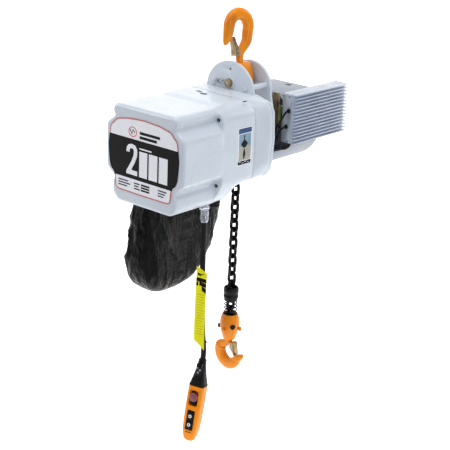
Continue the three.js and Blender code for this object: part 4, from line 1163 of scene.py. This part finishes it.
# %%
GLAND_X, GLAND_Y = 90, -245
CABLE_EXIT = (GLAND_X, GLAND_Y, -375.3)
CABLE_THICK = 0.017
gland_profile = [(9.3, -371.5), (9.3, -375), (10.6, -375), (11.4, -372.6), (12, -369), (12, -358),
                 (11, -356), (13, -354), (13, -341), (11.4, -339), (11.4, -319.5), (9.4, -319.5),
                 (9.3, -371.5)]
gland_nut = [(11.2, -336), (15.2, -336), (16, -335), (16, -328), (15.2, -327), (11.2, -327),
             (11.2, -336)]
pieces = [turned(gland_profile, 72, (GLAND_X, GLAND_Y, 0)),
          turned(gland_nut, 6, (GLAND_X, GLAND_Y, 0))]
for k in range(24):
    angle = 2 * math.pi * k / 24
    foot = Vector((GLAND_X + 12 * math.cos(angle), GLAND_Y + 12 * math.sin(angle), -369.5))
    pieces.append(tube([foot, foot + Vector((0, 0, 11.5))], 0.75, 6))
add("gland_body", joined(*pieces), STEEL, nodes=["cable_gland"])
inlet_profile = [(0, -347), (9, -347), (10.4, -346), (15, -340), (15, -334), (14.2, -333),
                 (14.2, -331), (15, -330), (15, -325), (12, -319.5), (0, -319.5)]
add("inlet_plug", turned(inlet_profile, 48, (78, -186, 0)), RUBBER, nodes=["power_inlet"])

ROUTE = [CABLE_EXIT, (90, -245, -396), (90.2, -245, -440), (91, -245.5, -510),
         (92.5, -245, -590), (94.5, -243.5, -670), (96.4, -240, -740), (97.5, -235.4, -780),
         (98, -235, -804), (98, -236.8, -820.6)]
route = [row(p) for p in smooth_line(ROUTE, 10)]
line = bpy.data.curves.new("pendant_cord", "CURVE")
line.dimensions = "3D"
line.bevel_depth = CABLE_THICK / 2
line.bevel_resolution = 6
line.use_fill_caps = True
spline = line.splines.new("POLY")
spline.points.add(len(route) - 1)
for spot, point in zip(spline.points, route):
    spot.co = (*point, 1)
line.materials.append(RUBBER)
cord = bpy.data.objects.new("pendant_cord", line)
bpy.context.scene.collection.objects.link(cord)
place(cord, "pendant", ["pendant_cable"], "rubber")
tuple(row(CABLE_EXIT))

# %% [markdown]
# ## The yellow tag
# The tag is a folded plastic card, held to the cable by two ties through its ends. Its head is
# printed with dark blocks and slanted bars, and its long face with faint rows. None of them
# is a letter.

# %%
TAG_TURN = math.radians(40)
TOWARD = Vector((math.sin(TAG_TURN), -math.cos(TAG_TURN), 0))
SIDE = Vector((math.cos(TAG_TURN), math.sin(TAG_TURN), 0))


def tag_point(s, out, z):
    bow = 2.2 * math.sin((z + 512) / 84) + 0.5 * math.sin(z / 17 + s / 9)
    drift = 2.4 * math.sin((z + 520) / 120)
    lift = 12.1 + bow * 0.35 + 0.012 * s * s
    return Vector((90, -245.8, z)) + TOWARD * (lift + out) + SIDE * (s + drift)


def tag_patch(name, corners, out, thick, material, rows, nodes=()):
    (s0, z0), (s1, z1), (s2, z2), (s3, z3) = corners

    def point(u, v, layer):
        s = (s0 * (1 - u) + s1 * u) * (1 - v) + (s3 * (1 - u) + s2 * u) * v
        z = (z0 * (1 - u) + z1 * u) * (1 - v) + (z3 * (1 - u) + z2 * u) * v
        return tag_point(s, layer, z)
    add(name, film(rows, 6, (out + thick, out), point), material, "pendant", nodes, "tag_yellow",
        sharp=40)


CARD_THICK = 0.8
tag_patch("tag_card", [(-16, -510), (16, -534), (16, -786), (-16, -752)], 0, CARD_THICK, TAG, 60,
          ["cable_tag"])
TAG_PRINT = moulded("tag print", (176, 172, 20), (150, 146, 16), 0.4, 0.42)
head_marks = [(-15, 15, -546, -558, 8), (-6, 15, -560, -573, 8), (-15, -9, -560, -573, 0),
              (2, 15, -575, -590, 10), (-12, -2, -531, -538, 6)]
for k, (s0, s1, z0, z1, slope) in enumerate(head_marks):
    corners = [(s0, z0), (s1, z0 - slope), (s1, z1 - slope), (s0, z1)]
    tag_patch(f"tag_block_{k + 1}", corners, CARD_THICK, 0.2, BLACK_INK, 6)
for k in range(16):
    z = -600 - 8.6 * k
    end = 12 - (k % 3) * 3
    corners = [(-12, z), (end, z - 5), (end, z - 6.4), (-12, z - 1.4)]
    tag_patch(f"tag_row_{k + 1}", corners, CARD_THICK, 0.12, TAG_PRINT, 2)


def tie_points(z):
    along = next(i for i, p in enumerate(ROUTE) if p[2] < z)
    (ax, ay, az), (bx, by, bz) = ROUTE[along - 1], ROUTE[along]
    share = (z - az) / (bz - az)
    centre = Vector((ax + (bx - ax) * share, ay + (by - ay) * share, z))
    loop = []
    for k in range(33):
        angle = 2 * math.pi * k / 32
        reach_out = 9.6 + 4.6 * max(math.cos(angle), 0) ** 2
        loop.append(centre + TOWARD * reach_out * math.cos(angle)
                    + SIDE * 9.8 * math.sin(angle))
    return loop, centre


for k, z in enumerate((-538, -764)):
    loop, centre = tie_points(z)
    tail = [centre + SIDE * 9 + TOWARD * 8, centre + SIDE * 13 + TOWARD * 12 + Vector((0, 0, 2)),
            centre + SIDE * 18 + TOWARD * 13 + Vector((0, 0, 5))]
    add(f"tag_tie_{k + 1}", joined(tube(loop, 1.1, 8), tube(tail, 1.0, 8)), PLASTIC, "pendant")

# %% [markdown]
# ## The pendant
# The handset hangs on its boot and leans a little. Its two shells are lofted from rounded
# sections and split along the side. The stop button stands in a pocket under a hood, and the
# two travel buttons sit in a framed pad. A cord grip with two screws holds the boot.

# %%
HAND = Matrix.Translation((98, -237, -822)) @ Matrix.Rotation(math.radians(-11), 4, "X")
HAND = HAND @ Matrix.Rotation(math.radians(18), 4, "Z")


def hand(point):
    return row(HAND @ Vector(point))


def hand_ring(z, width, depth, power, sides=72):
    points = []
    for k in range(sides):
        angle = 2 * math.pi * k / sides
        c, s = math.cos(angle), math.sin(angle)
        points.append((math.copysign(abs(c) ** power, c) * width / 2,
                       math.copysign(abs(s) ** power, s) * depth / 2, z))
    return points


def loft(levels, per_span):
    return skin([hand_ring(*level) for level in smooth_line(levels, per_span)])


def add_hand(name, shape, material, body="pendant", nodes=(), slot=None, sharp=35):
    return add(name, shape, material, body, nodes, slot, sharp, hand)


def hand_box(name, box, material):
    return solid(name, *slab(*box), material, 35, hand)


def cutter(*box):
    return hand_box("cutter", box, PENDANT)


boot_levels = [(-0.2, 19, 19, 1), (-1.5, 23, 23, 1), (-9, 23.6, 23.4, 0.95), (-22, 27, 26, 0.8),
               (-36, 31.6, 30, 0.68), (-52, 37, 35, 0.6), (-70, 45, 40.6, 0.5),
               (-84.2, 49.8, 43.8, 0.45), (-85.6, 48.6, 42.6, 0.45)]
add_hand("boot_sleeve", loft(boot_levels, 5), RUBBER, nodes=["pendant_boot"], sharp=60)
for k in range(5):
    z = -5 - 6.4 * k
    grow = 23.5 + k
    rib = skin([hand_ring(z + dz, grow + out, grow + out, 0.95) for dz, out in
                [(1.6, 0.2), (1.1, 1.5), (-0.5, 1.7), (-1.6, 0.4)]])
    add_hand(f"boot_rib_{k + 1}", rib, RUBBER, sharp=60)
collar = skin([hand_ring(z, w, d, 0.45) for z, w, d in
               [(-78, 47.5, 41.5), (-78.6, 49.8, 43.8), (-82, 51.4, 45), (-85.6, 51.6, 45.4)]])
add_hand("boot_collar", collar, RUBBER, sharp=60)

grip = hand_box("cord_grip", (-9, 9, -22, -11, -50, -12), PLASTIC)
place(round_edges(grip, 2.4, 3), "pendant", slot="black_plastic")
GRIP_SCREW = [(0, 0.4), (1.2, 0.4), (1.2, 2.2), (2.8, 2.2), (3.4, 1.4), (3.4, -2), (0, -2)]
for k, (x, z) in enumerate([(-4.4, -27), (4.4, -31), (0, -40)]):
    add_hand(f"grip_screw_{k + 1}", turned(GRIP_SCREW, 24, (x, -22, z), 1), STEEL)

body_levels = [(-86.2, 49, 43.4, 0.46), (-88.4, 51.6, 45.8, 0.46), (-120, 52, 46, 0.45),
               (-156, 52, 46, 0.45), (-190, 51, 45, 0.45), (-220, 49, 43, 0.46),
               (-238, 45.4, 40.4, 0.5), (-251, 40.4, 36.4, 0.56), (-260, 34.4, 32, 0.66),
               (-265, 27, 27, 0.8), (-266, 14, 14, 0.9)]
for name, node, low, high in (("handset_front", "pendant_front", 3.0, 60),
                              ("handset_back", "pendant_back", -60, 3.4)):
    shell = solid(name, *loft(body_levels, 6), PENDANT, 50, hand)
    cutters = [cutter(-60, 60, low, high, -290, -60), cutter(-15, 15, -7, 14, -236, -92)]
    if name == "handset_front":
        cutters.append(round_edges(cutter(-15.5, 15.5, -40, -8.8, -150, -98), 6, 5))
        cutters.append(round_edges(cutter(-12.6, 12.6, -40, -10.9, -228, -164), 3, 4))
    carve(shell, *cutters)
    place(round_edges(shell, 0.7, 2, 40), "pendant", [node], "pendant_plastic")

# The pocket floor is dark brown-orange: painted shade for the recess under the hood.
POCKET_PAINTED_SHADE = moulded("pocket painted shade", (104, 52, 12), (70, 34, 10), 0.5, 0.5, dim=0.2)
pocket_floor = hand_box("pocket_floor", (-14.9, 14.9, -10.2, -8.9, -149.4, -98.6), POCKET_PAINTED_SHADE)
place(round_edges(pocket_floor, 0.4), "pendant", slot="pendant_plastic")
LIP_X, LIP_Y = 15.9, -22.4
hood = [(LIP_X * math.cos(math.pi * k / 20), LIP_Y, -112 + 14.4 * math.sin(math.pi * k / 20))
        for k in range(21)]
hood = [(LIP_X, LIP_Y, -148), *hood, (-LIP_X, LIP_Y, -148)]
add_hand("pocket_lip", tube(hood, 1.2, 10), PENDANT, sharp=60)

mushroom = [(0, 0), (4, 0), (4, 5), (9.6, 6.4), (13.2, 8.8), (14.2, 11), (14.2, 13.4), (13.2, 15.2),
            (10.4, 16.8), (6, 17.7), (0, 18)]
add_hand("stop_mushroom", turned(mushroom, 64, (0, -12.3, -120), 1), STOP, "stop_button",
         ["stop_button"], sharp=40)
for name, z, radius, height, nodes in (("stop_neck", -120, 7.4, 2.4, []),
                                       ("stop_lock", -141, 7.8, 9, ["stop_collar"])):
    profile = [(0, 0), (radius, 0), (radius, height - 1), (radius - 1, height), (0, height)]
    add_hand(name, turned(profile, 40, (0, -9, z), 1), PLASTIC, nodes=nodes)

UP_Z, DOWN_Z = -182, -210
pad = hand_box("button_frame", (-12.2, 12.2, -24.4, -11.4, -227.7, -164.3), PLASTIC)
carve(pad, *[cutter(-9.4, 9.4, -40, -15, z - 11.4, z + 11.4) for z in (UP_Z, DOWN_Z)])
place(round_edges(pad, 0.9, 2, 40), "pendant", ["button_pad"], "black_plastic")
for z, name, way in ((UP_Z, "up", 1), (DOWN_Z, "down", -1)):
    button = f"{name}_button"
    key = hand_box(f"{name}_key", (-9, 9, -26.6, -18.5, z - 11, z + 11), PLASTIC)
    place(round_edges(key, 1.4, 3, 40), button, [button], "black_plastic")
    disc = turned([(0, 0), (5.4, 0), (5.4, 0.5), (0, 0.5)], 36, (0, -26.4, z), 1)
    add_hand(f"{name}_disc", disc, WHITE_INK, button, slot="black_plastic")
    arrow = [(x, z + up * way) for x, up in ((-3, -0.4), (0, 3.4), (3, -0.4), (1.1, -0.4),
                                             (1.1, -3), (-1.1, -3), (-1.1, -0.4))]
    flat_layer(f"{name}_arrow", arrow[::way], -26.9, BLACK_INK, None, 0.3, "black_plastic",
               button, hand)
for k in range(5):
    mark = slab(-9 + 3.9 * k, -6.6 + 3.9 * k, -22.6, -21.9, -236.4, -234.2)
    add_hand(f"foot_mark_{k + 1}", mark, BLACK_INK, slot="pendant_plastic")
BACK_SCREW = [(0, 0.4), (1.4, 0.4), (1.4, 1), (3.0, 1), (3.4, 0.4), (3.4, -6), (0, -6)]
for k, (x, z) in enumerate([(-19, -96), (19, -96), (-17, -232), (17, -232)]):
    add_hand(f"handset_screw_{k + 1}", turned(BACK_SCREW, 24, (x, 21.4, z), -1), STEEL)

# %% [markdown]
# ## The rear housing and the drive box
# A white drum behind the plates covers the motor's far end and the terminals. Its side is open
# where the drive box hangs: an aluminium box whose outer face is a finned heat sink.

# %%
# The white drum wears a darker grey copy of the housing paint: painted shade for a drum that sits
# under the heat sink.
REAR_PAINT_SHADED = painted("rear housing paint with painted shade", (158, 164, 173), (126, 130, 138), 0.3, 0.45,
                     0.0, dim=0.3)
dressed("rear_housing", "frame", REAR_PAINT_SHADED, 2.0, "housing_paint")
dressed("inverter_box", "frame", ALUMINIUM, 1.2)
BOX_FRONT, BOX_REAR = 95, 364
BOX_LOW = -190
FINS = 14
fins = [(127.3, BOX_LOW), (127.3, -36)]
step = (154 - 3) / FINS
for k in range(FINS, -1, -1):
    low = BOX_LOW + k * step
    fins += [(145.2, low + 3), (146, low + 2.4), (146, low + 0.6), (145.2, low)]
    if k > 0:
        fins += [(133, low), (132, low - 1.2), (132, low - step + 4.2), (133, low - step + 3)]
sink = solid("heat_sink_fins", *skin([[(x, y, z) for x, z in fins] for y in (BOX_FRONT, BOX_REAR)]),
             FIN_METAL)
place(round_edges(sink, 0.35), "frame", ["heat_sink"], "heat_sink_aluminium")
BOX_SCREW = [(0, 1.2), (1.6, 1.2), (1.6, 2.6), (3.2, 2.6), (3.7, 2), (3.7, 0), (0, 0)]
for k, (x, z) in enumerate([(99, -183), (99, -43), (121, -183), (121, -43)]):
    add(f"box_screw_{k + 1}", turned(BOX_SCREW, 24, (x, BOX_FRONT, z), 1), STEEL)
add("box_seam", slab(92.7, 127.2, 360.2, 361.4, -190.3, -35.7), BLACK_STEEL)

# %% [markdown]
# ## Leads and terminals
# Two leads leave the box through grommets and join one loom. Beside them a contactor stands on
# its plate, with terminal screws, a label field and coloured wires.

# %%
GROMMET = [(3.6, -0.3), (3.6, -4), (5.6, -4), (7, -2.2), (7, -0.3), (3.6, -0.3)]
for k, (x, z) in enumerate([(119, -88), (112, -139)]):
    add(f"lead_grommet_{k + 1}", turned(GROMMET, 36, (x, BOX_FRONT, z), -1), RUBBER,
        nodes=[f"grommet_{k + 1}"])
upper_lead = [(119, 93, -88), (119, 87, -88.5), (117, 83, -92), (101, 77, -122), (87, 73, -156),
              (90, 68, -190), (84, 68, -202)]
lower_lead = [(112, 93, -139), (112, 87, -139.5), (109, 83, -142), (98, 79, -157),
              (92, 72, -185), (84, 68, -202)]
loom = [(84, 68, -202), (104, 74, -205), (117, 84, -205), (120, 98, -202), (116, 112, -198)]
leads = joined(*[tube(smooth_line(run, 8), radius, sides) for run, radius, sides in
                 ((upper_lead, 3.2, 14), (lower_lead, 3.2, 14), (loom, 5, 16))])
add("lead_loom", leads, RUBBER, nodes=["inverter_leads"], sharp=60)

dressed("contactor_plate", "frame", ZINC, 0.6)
dressed("contactor", "frame", BOARD, 1.4)
BOARD_LIGHT = moulded("pale terminal plastic", (206, 204, 190), (160, 158, 146), 0.4,
                      0.45)
for k in range(3):
    x = 57 + 11 * k
    for z in (-137, -89):
        block_shape = slab(x - 4.4, x + 4.4, 105, 113.4, z - 1, z + 8)
        place(round_edges(solid(f"terminal_{k}_{-z}", *block_shape, BOARD_LIGHT), 0.5), "frame",
              slot="electronics")
    for z, route_end in ((-84, -62), (-141, -158)):
        wire = smooth_line([(x, 104, z), (x + 1, 102, z + (route_end - z) * 0.4),
                            (x - 3 + 2 * k, 94, route_end)], 8)
        add(f"wire_{k}_{-z}", tube(wire, 1.3, 10), WIRE_RED if k == 1 else RUBBER,
            slot="electronics")
add("contactor_label", slab(58, 80, 112.2, 112.9, -118, -103), WHITE_INK, slot="electronics")

# %% [markdown]
# ## The room
# A pale floor lies below the hoist. Behind the hoist a softly glowing sheet rises from it, so
# that the ground is white while the hoist's undersides stay in shade.

# %%
FLOOR, SHEET = (surface(name, PAINT_SKIN, {"Color": (*color, 1), "Dust Color": (*dust, 1),
                                           "Dust": 0.1, "Roughness": 0.9}, bump=0.02)
                for name, color, dust in (
                    ("studio floor", (0.8, 0.8, 0.81), (0.74, 0.74, 0.75)),
                    ("glowing sheet", (0.9, 0.9, 0.9), (0.84, 0.84, 0.84))))
glow = SHEET.node_tree.nodes["Principled BSDF"]
glow.inputs["Emission Color"].default_value = (1, 1, 1, 1)
glow.inputs["Emission Strength"].default_value = 0.74
FLOOR_Z = -1.34
HALF_ROOM = 12
BEND_R = 2
AWAY = Matrix.Rotation(math.radians(40.6), 3, "Z")


def studio_sheet(name, profile, half, material):
    points = [AWAY @ Vector((x, along, height)) for x in (-half, half)
              for along, height in profile]
    count = len(profile)
    faces = [(k, count + k, count + k + 1, k + 1) for k in range(count - 1)]
    solid(name, points, faces, material, 60, Vector)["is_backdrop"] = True


under = FLOOR_Z - 0.004
studio_sheet("studio_floor", [(-HALF_ROOM, under), (HALF_ROOM, under)], HALF_ROOM, FLOOR)
rise = [(3.5 + BEND_R * math.sin(a), FLOOR_Z + BEND_R - BEND_R * math.cos(a))
        for a in (math.pi / 2 * k / 12 for k in range(13))]
studio_sheet("glowing_backdrop", [(-0.55, FLOOR_Z), *rise, (5.5, 5)], 11.9, SHEET)


def soft_light(name, place_at, look_at, size, power, colour=(1, 1, 1)):
    data = bpy.data.lights.new(name, "AREA")
    data.shape = "RECTANGLE"
    data.size, data.size_y = size
    data.energy = power
    data.color = colour
    lamp = bpy.data.objects.new(name, data)
    bpy.context.scene.collection.objects.link(lamp)
    aim = Vector(look_at) - Vector(place_at)
    lamp.location = place_at
    lamp.rotation_euler = aim.to_track_quat("-Z", "Y").to_euler()


soft_light("key_light", (-2.6, -2.4, 1.5), (0, -0.1, -0.3), (2.0, 2.0), 41)
soft_light("top_light", (0.2, -0.4, 2.4), (0, -0.1, -0.2), (2.4, 2.4), 45)
soft_light("fill_light", (2.9, -0.6, 0.3), (0, -0.1, -0.5), (0.9, 2.4), 24, (0.93, 0.97, 1.0))
soft_light("rim_light", (1.2, 2.6, 1.2), (0, 0.0, -0.3), (1.6, 1.2), 7)

world = bpy.data.worlds.new("pale room")
bpy.context.scene.world = world
world.use_nodes = True
backdrop = world.node_tree.nodes["Background"]
backdrop.inputs["Color"].default_value = (0.94, 0.97, 1, 1)
backdrop.inputs["Strength"].default_value = 0.36
bpy.context.scene.view_settings.view_transform = "Standard"
print("lights:", len(bpy.data.lights))

# %%
low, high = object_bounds()
print("visual box:", [round(v, 4) for v in (*low, *high)])
